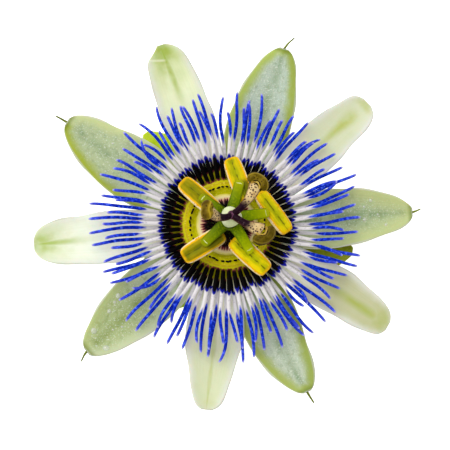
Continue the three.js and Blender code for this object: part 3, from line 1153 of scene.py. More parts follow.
@dataclass(frozen=True)
class StrapFinish:
    """Green skin of a strap, with painted shade at its edges and a painted highlight line where it bends
    to its anther.
    """

    name: str
    # tone: painted light and shade, a share that lightens or darkens the whole strap.
    tone: float
    stops: tuple[tuple[float, Colour], ...] = (
        (0.0, tint(66, 90, 0)), (3.0, tint(89, 113, 0)), (5.0, tint(118, 141, 0)),
        (7.4, tint(149, 161, 0)), (9.6, tint(176, 178, 4)),
    )
    # Painted shade along the strap's sides.
    edge: Colour = tint(50, 70, 0)
    speck: Colour = tint(164, 178, 0)
    # Colour and place of the painted highlight across the bend.
    lip: Colour = tint(216, 224, 150)
    highlight_at: float = 0.98

    def make(self) -> Material:
        """Builds the material from the distance to the axis and from the marks along and across.

        Returns:
            The material.
        """
        material, w, shader = finish_tree(self.name)
        radius = w.group(Effects.radius(), place=w.place, uneven=1.0, grain=900.0)[0]
        stops = [(at, toned(colour, self.tone)) for at, colour in self.stops]
        grain = w.group(Effects.grain(), place=w.place, scale=2400.0, level=0.5)
        across = w.math("ABSOLUTE", w.mark("across"))
        ragged = w.plus(w.mark("along"), w.drift(w.noise(w.place, 1800.0), 0.07))
        # Painted highlight line across the bend near the end; the coats below also paint shade at the
        # sides.
        lip = w.span(w.off(ragged, self.highlight_at), 0.018, 0.004)
        colour = w.paint(
            w.ramp(radius, stops),
            (w.times(grain[1], 0.4), toned(self.speck, self.tone)),
            (w.times(w.span(across, 0.6, 1.0), 0.6), self.edge),
            (w.times(lip, w.span(across, 0.62, 0.3)), self.lip),
        )
        w.feed(
            shader, base_color=colour, roughness=0.4, normal=w.bump(grain[0], 0.4, 0.12),
            specular_ior_level=0.04,
        )
        return material


@dataclass(frozen=True)
class AntherFinish:
    """Back of an anther: green that turns golden, then an orange band and a cream edge.

    Its inner end has a painted shadow on one side: the left one where its strength is above 0, or the
    right one.
    """

    name: str
    # tone: painted light and shade, a share that lightens or darkens all its colours.
    tone: float
    inner_shadow: float
    middle: Colour = tint(156, 158, 2)
    back: Colour = tint(192, 176, 2)
    green: Colour = tint(110, 114, 2)
    gold: Colour = tint(204, 174, 2)
    groove: Colour = tint(84, 84, 4)
    band: Colour = tint(238, 180, 4)
    rim: Colour = tint(240, 218, 166)
    # Colour of the painted shadow on the inner end.
    painted_shadow: Colour = tint(70, 78, 0)

    def make(self) -> Material:
        """Builds the material from the pod's own map, whose V runs across its back.

        Returns:
            The material.
        """
        material, w, shader = finish_tree(self.name)
        flat, along, across = w.ways()
        cloud = w.noise(w.place, 420.0, 3.0)
        lines = w.group(Effects.veins(), map=flat, along=2.6, across=17.0)[0]
        middle, back, green, gold = (
            toned(colour, self.tone) for colour in (self.middle, self.back, self.green, self.gold)
        )
        off = w.times(w.off(across, 0.5), 2.0)
        drift = w.plus(off, w.drift(cloud, 0.5))
        wave = w.plus(off, w.drift(w.noise(w.place, 1100.0), 0.12))
        slit = w.times(w.span(drift, 0.12, 0.02), w.span(cloud, 0.36, 0.5))
        # Painted shadow on one side of the inner end, where the parts above shade it.
        aside = w.times(w.minus(across, 0.5), math.copysign(2.0, self.inner_shadow))
        inner = w.times(w.span(along, 0.5, 0.34), w.span(aside, 0.0, 0.3))
        colour = w.paint(
            middle,
            (w.span(drift, 0.12, 0.56), back),
            (w.times(lines, 0.5), w.mix(w.span(cloud, 0.4, 0.6), green, gold)),
            (w.times(slit, 0.85), self.groove),
            (w.span(wave, 0.62, 0.75), self.band),
            (w.span(wave, 0.82, 0.88), self.rim),
            (w.times(w.span(w.off(along, 0.5), 0.41, 0.48), 0.8), self.band),
            (w.times(inner, abs(self.inner_shadow)), self.painted_shadow),
        )
        grain = w.group(Effects.grain(), place=w.place, scale=2600.0, level=0.56)[0]
        height = w.plus(w.times(lines, 0.6), w.times(grain, 0.5))
        w.feed(
            shader, base_color=colour, roughness=0.45, normal=w.bump(height, 0.6, 0.15),
            specular_ior_level=0.06,
        )
        return material


@dataclass(frozen=True)
class DottedFinish:
    """Fleshy skin with ragged dots that changes along the way from the flower's middle.

    The ring is how strong the pale ring and the dark foot on a stigma's sides are; the foot is painted
    shade in the crease where the stigma meets its style.
    """

    name: str
    inner: Colour
    outer: Colour
    dot: Colour
    change: tuple[float, float]
    scale: float
    size: float
    patch: Colour = tint(186, 138, 66)
    edge: Colour = tint(78, 36, 14)
    # foot: painted shade in the crease against the style.
    foot: Colour = tint(34, 22, 2)
    speck: Colour = tint(180, 140, 150)
    ring: float = 0.0
    speck_share: float = 0.18
    roughness: float = 0.38

    def make(self) -> Material:
        """Builds the material from the distance to the middle of the styles.

        Returns:
            The material.
        """
        material, w, shader = finish_tree(self.name)
        hub = (AXIS + Vector((0, 0, STYLE_Z))) * MM
        cloud = w.minus(w.noise(w.place, 900.0), 0.5)
        reach = w.plus(w.length(w.vector("SUBTRACT", w.place, hub)), w.times(cloud, 1.6))
        dots = w.group(Effects.dots(), place=w.place, scale=self.scale, size=self.size)[0]
        outer = w.paint(
            self.outer,
            (w.times(w.span(cloud, -0.15, 0.2), 0.5), self.patch),
            (w.times(dots, 0.9), self.dot),
        )
        side = w.mark("side")
        off = w.math("ABSOLUTE", side)
        grain = w.group(Effects.grain(), place=w.place, scale=2500.0, level=0.6)
        colour = w.paint(
            self.inner,
            (w.span(reach, *self.change), outer),
            (w.times(w.span(off, 0.4, 0.55), w.span(off, 0.75, 0.6), self.ring), self.patch),
            (w.times(w.span(off, 0.65, 1.0), 0.8), self.edge),
            # Painted shade on the inner side, in the crease against the style.
            (w.times(w.span(side, -0.45, -0.65), self.ring), self.foot),
            (w.times(grain[1], self.speck_share), self.speck),
        )
        w.feed(
            shader, base_color=colour, roughness=self.roughness,
            normal=w.bump(grain[0], 0.5, 0.12), specular_ior_level=0.05,
        )
        return material


@dataclass(frozen=True)
class PlainFinish:
    """One colour that clouds into another, with a fine grain."""

    name: str
    first: Colour
    second: Colour
    scale: float = 700.0
    roughness: float = 0.4
    depth: float = 0.08

    def make(self) -> Material:
        """Builds the material from the place on the piece.

        Returns:
            The material.
        """
        material, w, shader = finish_tree(self.name)
        cloud = w.noise(w.place, self.scale, 3.0)
        grain = w.group(Effects.grain(), place=w.place, scale=3000.0, level=0.6)[0]
        w.feed(
            shader, base_color=w.mix(w.span(cloud, 0.3, 0.7), self.first, self.second),
            roughness=self.roughness, specular_ior_level=0.06,
            normal=w.bump(grain, 0.4, self.depth),
        )
        return material


# ---- petals, sepals and bracts


@dataclass(frozen=True)
class BladePlan:
    """One blade: its direction, the radius of its tip, its width, and how its middle line drifts.

    The corner is how far a fold near the tip pulls the blade's left side out, the slant is the share
    of its left half that is missing at the very tip, and the taper makes it wider towards its root
    and narrower towards its tip.
    """

    angle: float
    tip: float
    width: float
    sway: tuple[float, float] = (0.0, 0.0)
    corner: float = 0.0
    slant: float = 0.0
    taper: float = 0.0

    @cached_property
    def aside(self) -> Curve:
        """How far its middle stands to the left of its axis, by share of its length."""
        return through((0, 0), (0.3, 0), (0.66, self.sway[0]), (1, self.sway[1]))


@dataclass(frozen=True)
class BladeForm:
    """The form that the blades of a whorl share."""

    root: float
    width_at: Curve
    keel: Curve
    cupping: Curve
    thickness: float
    ripple: float
    rows: int = 24
    columns: int = 8
    crowding: float = 1.6
    taper_from: float = 0.5
    even_at: float = 0.77
    least_half: float = 0.1
    wave: float = 2.6
    edge_wave: float = 0.16
    twist: float = 0.25

    def half(self, plan: BladePlan, u: float) -> float:
        """Half the blade's width, by share of its length."""
        taper = plan.taper * (self.even_at - max(u, self.taper_from))
        return plan.width * self.width_at(u) / 2 * (1 + taper)

    def spot(self, p: Vector, plan: BladePlan) -> tuple[float, float, float]:
        """Tells where on the blade a point is.

        Args:
            p: The point, on a blade that points along +X.
            plan: The blade's own sizes.

        Returns:
            The share of its length, half its width there, and how far across it is, -1 to 1.
        """
        u = clamp((p.x - self.root) / (plan.tip - self.root))
        half = max(self.half(plan, u), self.least_half)
        return u, half, (p.y - plan.aside(u)) / half

    def build(self, name: str, plan: BladePlan, seed: int) -> Bench:
        """Shapes one blade that points along +X.

        Args:
            name: The piece's name.
            plan: The blade's own sizes.
            seed: The number that decides its unevenness.

        Returns:
            The bench with the blade on it, mapped and not yet turned to its place.
        """
        length = plan.tip - self.root
        bench = Bench.added(
            name, bpy.ops.mesh.primitive_grid_add, x_subdivisions=self.rows,
            y_subdivisions=self.columns, size=2 * MM,
        )
        bench.open()
        for t in shares(self.columns):
            across = 2 * t - 1
            bench.pick(lambda point, at=across: abs(point.co.y / MM - at) < SAME_PLACE)
            bench.move(z=across**2)
        for t in shares(self.rows):
            here = 2 * t - 1
            u = 1 - (1 - t) ** self.crowding
            x = self.root + length * u
            bench.pick(lambda point, at=here: abs(point.co.x / MM - at) < SAME_PLACE)
            hollow = self.cupping(x) * self.width_at(u) ** 2
            bench.resize(1, self.half(plan, u), hollow, (here, 0, 0))
            bench.move(x - here, plan.aside(u), self.keel(x))
        bench.close()
        bench.sculpt(lambda p: self.uneven(p, plan, seed))
        bench.modify("SOLIDIFY", thickness=self.thickness * MM, offset=0.0)
        bench.subdivide(2)
        self.measure(bench, plan)
        return bench

    def uneven(self, p: Vector, plan: BladePlan, seed: int) -> Vector:
        """Ripples a blade's edges, folds its tip, and wraps its root round the cup.

        Args:
            p: A point of the even blade.
            plan: The blade's own sizes.
            seed: The number that decides its unevenness.

        Returns:
            Where the point goes.
        """
        u, half, v = self.spot(p, plan)
        side = 1 if v > 0 else 2
        slow = math.sin(p.x / self.wave + 3 * scatter(seed, side))
        fast = math.sin(2 * p.x / self.wave + 3 * scatter(seed, side + 2))
        wave = slow + 0.6 * fast
        lift = self.ripple * wave * abs(v) ** 3 * smooth(u, 0.3, 0.6)
        twist = self.twist * scatter(seed, 7) * v * smooth(u, 0.4, 1.0)
        wall = math.sqrt(self.root**2 - min(p.y**2, self.root**2 / 2))
        wrap = (self.root - wall) * (1 - smooth(u, 0, 0.3))
        edge = self.edge_wave * wave * math.copysign(1, v) * abs(v) ** 5 * smooth(u, 0.35, 0.6)
        fold = smooth(u, 0.76, 0.88) * max(v, 0.0) ** 2
        edge += plan.corner * fold
        edge -= plan.slant * max(v, 0.0) * half * smooth(u, 0.9, 0.99)
        dip = plan.corner * 1.1 * fold * smooth(u, 0.84, 0.92)
        return Vector((p.x - wrap, p.y + edge, p.z + lift + twist - dip))

    def measure(self, bench: Bench, plan: BladePlan) -> None:
        """Maps the blade and marks how far each point is from its edge.

        Args:
            bench: The bench with the blade on it.
            plan: The blade's own sizes.
        """

        def on_map(p: Vector) -> tuple[float, float]:
            """Gives a point's place on the map."""
            u, _, v = self.spot(p, plan)
            return u, v / 2 + 0.5

        def from_edge(p: Vector) -> float:
            """Gives how far a point is from the blade's side or its tip, in millimetres."""
            _, half, v = self.spot(p, plan)
            return min(half * (1 - abs(v)), (plan.tip - p.x) * 1.2)

        bench.lay_map(on_map)
        bench.mark("edge", from_edge)


PETAL_FORM = BladeForm(
    root=9.2,
    width_at=through(
        (0, 0.6), (0.2, 0.8), (0.45, 0.98), (0.6, 0.97), (0.7, 0.9), (0.8, 0.84),
        (0.9, 0.73), (0.955, 0.6), (0.985, 0.42), (1, 0.2),
    ),
    keel=through((9, 8.85), (20, 8.9), (30, 9.1), (38, 9.9), (46, 11.3)),
    cupping=through((9, 0), (18, 0.1), (28, 0.5), (36, 1.0), (43, 1.6), (46, 1.0)),
    thickness=0.55,
    ripple=0.18,
)
SEPAL_FORM = BladeForm(
    root=9.0,
    width_at=through(
        (0, 0.62), (0.2, 0.86), (0.42, 1), (0.6, 0.94), (0.7, 0.85), (0.8, 0.73),
        (0.9, 0.56), (0.95, 0.42), (0.985, 0.27), (1, 0.12),
    ),
    keel=through((9, 7.7), (20, 7.6), (30, 8.0), (38, 8.9), (46, 10.8)),
    cupping=through((9, 0), (18, 0.12), (26, 0.75), (34, 1.6), (41, 1.7), (46, 0.7)),
    thickness=0.7,
    ripple=0.16,
)
BRACT_LOW_Z = 0.36
BRACT_FORM = BladeForm(
    root=1.3,
    width_at=through(
        (0, 0.15), (0.15, 0.4), (0.42, 0.96), (0.6, 0.94), (0.82, 0.6), (0.95, 0.28), (1, 0.1)
    ),
    keel=through(
        (1.3, 2.2), (6.5, 0.9), (11.2, BRACT_LOW_Z), (15.6, BRACT_LOW_Z), (23.5, 1.8), (31, 4.4)
    ),
    cupping=through((1.3, 0.2), (14, 1.4), (24, 1.4), (31, 0.6)),
    thickness=0.6,
    ripple=0.1,
)


@dataclass(frozen=True)
class Petals:
    """The five petals, each with its own streak."""

    plans: tuple[BladePlan, ...] = (
        BladePlan(41.2, 45.1, 12.2, (0.1, 0.25)),
        BladePlan(109.8, 46.0, 12.8, (0.0, 0.6), 0.25, 0.6),
        BladePlan(186.0, 45.3, 12.9, (0.2, 0.5)),
        BladePlan(263.7, 43.4, 11.8, (0.05, -0.1), taper=0.75),
        BladePlan(329.0, 44.6, 11.6, (0.1, -0.85)),
    )
    # The bodies' lightness is partly each petal's own colour and partly painted light and shade, lighter
    # on the left and darker on the right.
    finishes: tuple[PetalFinish, ...] = (
        PetalFinish(
            "petal_skin_1", tint(206, 214, 180), tint(172, 184, 70), streak_width=0.3,
            streak_start=0.42, streak_end=0.93, flare=2.8, tip_from=0.93, tip_strength=0.7,
            pale_edge=0.9,
        ),
        PetalFinish(
            "petal_skin_2", tint(226, 236, 196), tint(150, 174, 44), streak_width=0.13,
            streak_start=0.5, streak_strength=0.95, tip_from=0.64, tip_strength=1.0,
            pale_edge=0.8, crease=0.5, crease_width=0.013,
        ),
        PetalFinish(
            "petal_skin_3", tint(238, 246, 224), tint(160, 186, 60), streak_width=0.12,
            streak_strength=0.95, tip_from=0.72, tip_strength=0.9, pale_edge=0.5,
        ),
        PetalFinish(
            "petal_skin_4", tint(208, 217, 178), tint(178, 190, 104), streak_width=0.07,
            streak_start=0.2, streak_strength=0.6,
        ),
        PetalFinish(
            "petal_skin_5", tint(190, 193, 152), tint(160, 174, 62), streak_start=0.4, streak_end=0.94,
            flare=1.6, tip_from=0.8, tip_strength=0.8, pale_edge=0.85,
        ),
    )

    def build(self) -> None:
        """Makes the petals."""
        for i, (plan, finish) in enumerate(zip(self.plans, self.finishes, strict=True), 1):
            bench = PETAL_FORM.build(f"petal_blade_{i}", plan, i)
            bench.stand(plan.angle)
            bench.fit(finish.make(), "petal", f"petal_{i}")


@dataclass(frozen=True)
class Horn:
    """The thin horn behind a sepal's tip: how far it stands out and which way it bends."""

    reach: float
    turn: float


@dataclass(frozen=True)
class Sepals:
    """The five sepals with their horns."""

    plans: tuple[BladePlan, ...] = (
        BladePlan(4.5, 44.5, 14.6, (0.3, 0)),
        BladePlan(72.1, 45.2, 15.5, (0.15, 0.05)),
        BladePlan(149.1, 45.0, 15.7, (-0.1, -1.2)),
        BladePlan(221.8, 44.1, 15.0, (0.2, 0.6)),
        BladePlan(294.6, 43.3, 14.2, (-0.25, 0.75)),
    )
    horns: tuple[Horn, ...] = (
        Horn(1.8, 17), Horn(3.1, -27), Horn(2.8, 4), Horn(2.3, 22), Horn(2.8, 6),
    )
    horn_foot: float = 2.4
    finishes: tuple[SepalFinish, ...] = (
        SepalFinish(
            "sepal_skin_1", tint(164, 179, 138), tint(186, 195, 130), tint(190, 201, 136),
            tint(112, 136, 88), 2.6, 1.4,
        ),
        SepalFinish(
            "sepal_skin_2", tint(180, 195, 176), tint(172, 190, 84), tint(148, 164, 50),
            margin_width=2.0, softness=0.8,
        ),
        SepalFinish(
            "sepal_skin_3", tint(178, 192, 148), tint(160, 174, 34), tint(200, 211, 148),
            margin_width=1.7,
        ),
        SepalFinish(
            "sepal_skin_4", tint(169, 183, 128), tint(196, 207, 164), tint(178, 191, 124),
            tint(120, 136, 58), 1.6, 1.4,
        ),
        SepalFinish(
            "sepal_skin_5", tint(188, 200, 176), tint(146, 162, 60), tint(164, 178, 80),
            margin_width=2.1, softness=0.8,
        ),
    )

    def build(self) -> None:
        """Makes the sepals and their horns."""
        horn_skin = PlainFinish("horn_skin", tint(124, 134, 40), tint(88, 98, 16)).make()
        for i, (plan, horn, finish) in enumerate(
            zip(self.plans, self.horns, self.finishes, strict=True), 1
        ):
            bench = SEPAL_FORM.build(f"sepal_blade_{i}", plan, i + 10)
            bench.stand(plan.angle)
            bench.fit(finish.make(), "sepal", f"sepal_{i}")
            self.horn(f"sepal_horn_{i}", plan, horn, horn_skin)

    def horn(self, name: str, plan: BladePlan, horn: Horn, skin: Material) -> None:
        """Makes one horn, which leaves the sepal's back just before the tip.

        Args:
            name: The piece's name.
            plan: The sepal's sizes.
            horn: The horn's sizes.
            skin: Its finish.
        """
        tip_z = SEPAL_FORM.keel(plan.tip)
        start_z = SEPAL_FORM.keel(plan.tip - self.horn_foot) - 0.1
        stations = [
            Station(-self.horn_foot, start_z, 0.5, 0.5),
            Station(-1.0, (start_z + tip_z) / 2 - 0.12, 0.74, 0.66),
            Station(0.1, tip_z, 0.6, 0.56),
            Station(0.45 * horn.reach, tip_z + 0.32, 0.48, 0.46),
            Station(horn.reach, tip_z + 0.6, 0.36, 0.34),
        ]
        bench = drawn(name, domed(stations), 8)
        bend = horn.turn / horn.reach / 2

        def curl(p: Vector) -> Vector:
            """Bends the part past the tip aside, and moves all of it out to the tip."""
            drift = math.radians(bend * max(p.x, 0.0) + horn.turn / 2) * max(p.x, 0.0)
            return Vector((p.x + plan.tip, p.y + drift + plan.sway[1], p.z))

        bench.sculpt(curl)
        bench.stand(plan.angle)
        bench.fit(skin, "sepal")


@dataclass(frozen=True)
class Bracts:
    """The three leaves that the flower lies on."""

    plans: tuple[BladePlan, ...] = (
        BladePlan(129.5, 30.2, 17.5), BladePlan(222, 29.0, 18.0), BladePlan(350, 31.3, 19.0),
    )
    finishes: tuple[LeafFinish, ...] = (
        LeafFinish("bract_skin_1", tint(174, 194, 10), tint(196, 212, 60)),
        LeafFinish("bract_skin_2", tint(152, 180, 44), tint(182, 204, 84)),
        # The third bract's darker olive is painted shade.
        LeafFinish("bract_skin_3", tint(112, 118, 4), tint(142, 148, 34)),
    )

    def build(self) -> None:
        """Makes the bracts."""
        for i, (plan, finish) in enumerate(zip(self.plans, self.finishes, strict=True), 1):
            bench = BRACT_FORM.build(f"bract_leaf_{i}", plan, i + 20)
            bench.sculpt(lambda p: Vector((p.x, p.y, max(p.z, 0.0))))
            bench.stand(plan.angle)
            bench.fit(finish.make(), "bract", f"bract_{i}")


@dataclass(frozen=True)
class Dew:
    """Drops of dew on the sepals: each has a sepal's number, a place from the axis and a radius."""

    drops: tuple[tuple[int, float, float, float], ...] = (
        (4, -25.4, -16.8, 0.7), (4, -27.4, -20.4, 0.55), (4, -30.9, -25.0, 0.8), (4, -28.0, -29.0, 0.8),
        (4, -26.5, -24.7, 0.28), (4, -24.4, -24.0, 0.35), (4, -26.2, -18.3, 0.4), (3, -27.1, 19.5, 0.28),
        (3, -24.4, 14.4, 0.4), (3, -23.1, 20.5, 0.55), (3, -19.7, 18.7, 0.5), (3, -25.3, 16.0, 0.28),
        (1, 33.1, 1.9, 0.5), (1, 38.1, 0.6, 0.4), (1, 34.5, 6.4, 0.45), (1, 33.0, 4.9, 0.35),
        (1, 36.2, 3.1, 0.3),
    )

    def build(self) -> None:
        """Makes the drops, with those of one sepal in one piece."""
        skin = self.skin()
        for number in sorted({drop[0] for drop in self.drops}):
            blade = bpy.data.objects[f"sepal_blade_{number}"]
            beads = [self.bead(blade, *drop[1:]) for drop in self.drops if drop[0] == number]
            dew = Bench.joined(f"dew_{number}", beads)
            dew.fit(skin, "sepal")

    @staticmethod
    def bead(blade: bpy.types.Object, x: float, y: float, radius: float) -> Bench:
        """Sets one drop down on a blade.

        Args:
            blade: The blade.
            x: The drop's place from the axis along X.
            y: Its place from the axis along Y.
            radius: Its radius.

        Returns:
            The bench with the drop on it.
        """
        above = (AXIS + Vector((x, y, 50.0))) * MM
        _, at, slope, _ = blade.ray_cast(above, Vector((0, 0, -1)))
        bench = Bench.ball("drop", 16, 10, (radius, radius * 0.9, radius * 0.5))
        turns = slope.to_track_quat("Z", "Y").to_euler()
        bench.place(at / MM, [math.degrees(turn) for turn in turns])
        return bench

    @staticmethod
    def skin() -> Material:
        """Builds the material of the drops: clear gloss over a faint white veil, the veil a painted
        sheen.

        Returns:
            The material.
        """
        material, w, shader = finish_tree("dew_skin")
        ripple = w.noise(w.place, 1500.0)
        # Painted sheen: white at 0.3 alpha stands for the drop's reflections, under real gloss.
        w.feed(
            shader, base_color=(1.0, 1.0, 1.0), roughness=0.08, specular_ior_level=0.9, alpha=0.3,
            normal=w.bump(ripple, 0.1, 0.05),
        )
        return material


# ---- cup, stalk and column


@dataclass(frozen=True)
class Trunk:
    """The pieces on the axis: the stalk's cut end, the cup, the column and the ovary."""

    sides: int = 48
    lobes: int = 10
    ovary_half: float = 2.36
    ovary_rise: float = 2.85

    def build(self) -> None:
        """Makes them from the bottom up."""
        self.stalk()
        self.cup()
        self.column()
        self.ovary()

    def stalk(self) -> None:
        """Makes the stalk's end, cut square."""
        profile = (
            (0, 0.32), (0.5, 0.32), (1.12, 0.3), (1.27, 0.42), (1.24, 1.6), (1.26, 2.6), (1.7, 3.5)
        )
        bench = turned("stalk_end", profile, 24)
        bench.stand()
        skin = LeafFinish("stalk_skin", tint(140, 164, 60), tint(176, 194, 96))
        bench.fit(skin.make(), "stalk", "stalk", crease=40)

    def cup(self) -> None:
        """Makes the cup that carries the blades, with shallow lobes round its base."""
        profile = (
            (0, 3.4), (1.6, 3.4), (3.0, 3.5), (4.6, 3.9), (6.2, 4.5), (7.6, 5.2), (8.7, 6.0), (9.3, 6.7),
            (9.58, 7.5), (9.6, 8.4), (9.5, 9.1), (9.1, 9.2), (8.7, 9.1), (8.6, 8.5), (8.5, 7.8),
            (7.8, 6.9), (7.0, 6.3), (4.6, 5.1), (3.0, 4.6), (1.0, 4.6),
        )
        bench = turned("cup_shell", profile, self.sides)

        def lobed(p: Vector) -> Vector:
            """Draws the wall in between the lobes, more so further down."""
            dip = 1 - 0.02 * (1 + math.cos(self.lobes * bearing(p))) * smooth(8.6 - p.z, 0, 3)
            return Vector((p.x * dip, p.y * dip, p.z))

        bench.sculpt(lobed)
        bench.subdivide(1)
        bench.stand()
        skin = LeafFinish("cup_skin", tint(186, 198, 120), tint(206, 214, 150))
        bench.fit(skin.make(), "cup", "flower_cup")

    def column(self) -> None:
        """Makes the column, which swells at its foot and spreads into a green collar."""
        profile = (
            (0, 4.7), (2.1, 4.7), (2.45, 5.1), (2.5, 5.8), (2.2, 6.7), (1.9, 7.8), (1.65, 9.6),
            (1.52, 12), (1.48, 15), (1.52, 17), (1.8, 18.2), (2.3, 18.9), (2.62, 19.3),
            (2.66, 19.7), (2.4, 20.1), (1.8, 20.35), (0.9, 20.4),
        )
        bench = turned("column_stem", profile, 30)
        bench.subdivide(1)
        bench.stand()
        # Painted shade: the colour darkens nearly to black where the column is narrow, deep in the
        # flower's shade, and turns green on its swollen foot and collar.
        stops = (
            (0.0, tint(40, 50, 8)), (1.5, tint(30, 24, 12)), (1.9, tint(64, 80, 6)),
            (3.0, tint(104, 132, 4)),
        )
        skin = RingFinish("column_skin", stops, tint(70, 20, 40), uneven=0.8, speck_share=0.4)
        bench.fit(skin.make(), "column", "column")

    def ovary(self) -> None:
        """Makes the ovary, an egg with three faint furrows."""
        half, rise = self.ovary_half, self.ovary_rise
        bench = Bench.ball("ovary_egg", 32, 20, (half, half, rise))
        middle = COLUMN_TOP_Z + rise

        def egg(p: Vector) -> Vector:
            """Furrows the ball, narrows its top, and lifts it to its place."""
            belly = 1 + 0.06 * math.cos(3 * bearing(p)) * (1 - (p.z / rise) ** 2) - 0.05 * p.z / rise
            return Vector((p.x * belly, p.y * belly, p.z + middle + 0.15))

        bench.sculpt(egg)
        bench.subdivide(1)
        bench.stand()
        skin = PlainFinish("ovary_skin", tint(222, 226, 188), tint(204, 212, 158), 420.0, 0.32)
        bench.fit(skin.make(), "ovary", "ovary")


# ---- corona, throat and operculum


class Row(Enum):
    """The corona's two rows of filaments."""

    LOWER = "lower"
    UPPER = "upper"


@dataclass(frozen=True)
class CoronaRow:
    """One row of long filaments that leave a ring and spread over the petals."""

    row: Row
    seed: int
    ring_z: float
    ring_height: float
    ring_width: float
    root_radius: float
    tip_radius: float
    tip_spread: float
    rise: float
    phase: float
    width_at: Curve
    dark_from: float
    # Share across past which painted light lines start on the filaments' sides; 2.0 gives none.
    lit_gap_line: float = 2.0
    count: int = 55
    inner: float = 9.7
    height: float = 0.72
    sides: int = 6
    master_length: float = 10.0
    share_slack: float = 0.004
    share_at: tuple[float, ...] = (
        0.0, 0.07, 0.15, 0.24, 0.34, 0.44, 0.53, 0.62, 0.7, 0.78, 0.85, 0.91, 0.955, 0.985, 1.0,
    )

    def master(self) -> Bench:
        """Draws one straight filament that the copies are bent from.

        Returns:
            The bench with the filament on it.
        """
        stations = [
            Station(
                t * self.master_length, 0, self.width_at(t),
                self.height * (1 - 0.32 * t) * (0.6 if t == 1 else 1),
            )
            for t in self.share_at
        ]
        bench = drawn(f"filament_{self.row.value}", stations, self.sides)
        bench.mark("along", lambda p: p.x / self.master_length)
        bench.mark("side", lambda p: 2 * p.y / self.width_at(p.x / self.master_length))
        return bench

    def filament(self, master: Bench, index: int) -> Bench:
        """Copies the straight filament and bends it ring by ring.

        Args:
            master: The straight filament.
            index: The filament's number in the row.

        Returns:
            The bench with the bent filament in its place.
        """

        def trait(n: int) -> float:
            """Gives one of the filament's own numbers, from -1 to 1."""
            return scatter(index, self.seed * 10 + n)

        step, rank = 360 / self.count, index + self.phase
        stray = step * 0.2 * trait(1)
        tip = self.tip_radius + self.tip_spread * trait(2)
        sheaf = math.sin(0.5 * rank + 1.3) + 0.6 * math.sin(1.3 * rank)
        sway = 1.0 + 1.5 * sheaf + 0.9 * trait(3)
        hook = 1.9 * trait(4) + 4 * trait(8) ** 9
        lift = self.rise + 0.25 * trait(5)
        wave, start = 0.28 + 0.2 * trait(6), math.pi * trait(7)
        bench = master.copy(f"filament_{self.row.value}_{index}")
        bench.mark("own", lambda p: trait(9))
        rings = [round(point.co.x / MM / self.master_length, 3) for point in bench.piece.data.vertices]
        bench.open()
        for t in self.share_at:
            radius = self.root_radius + (tip - self.root_radius) * t
            drift = math.radians(stray * smooth(t, 0.1, 0.6) + sway * t**2 + hook * t**5)
            side = radius * math.sin(drift) + wave * math.sin(7.5 * t + start) * smooth(t, 0.2, 0.8)
            bench.pick(lambda point, t=t: abs(rings[point.index] - t) < self.share_slack)
            x = radius * math.cos(drift) - t * self.master_length
            bench.move(x, side, lift * math.sin(math.pi / 2 * t))
        bench.close()
        bench.place(turns=(0, 0, step * rank))
        return bench

    def build(self) -> None:
        """Makes the row with its ring."""
        z, high, wide, inner = self.ring_z, self.ring_height, self.ring_width, self.inner
        profile = (
            (inner, z), (inner + wide, z), (inner + wide, z + 0.5 * high),
            (inner + 0.75 * wide, z + high), (inner, z + high), (inner, z),
        )
        ring = turned(f"corona_{self.row.value}", profile, 72)
        for mark in ("along", "side", "own"):
            ring.mark(mark, lambda p: 0.0)
        master = self.master()
        hairs = [self.filament(master, i) for i in range(self.count)]
        for hair in hairs:
            hair.sculpt(lambda p: Vector((p.x, p.y, p.z + z + high / 2)))
        master.scrap()
        ring.gather(hairs)
        ring.stand()
        skin = CoronaFinish(f"corona_skin_{self.row.value}", self.dark_from, self.lit_gap_line)
        ring.fit(skin.make(), "corona", f"corona_{self.row.value}_row", crease=75)


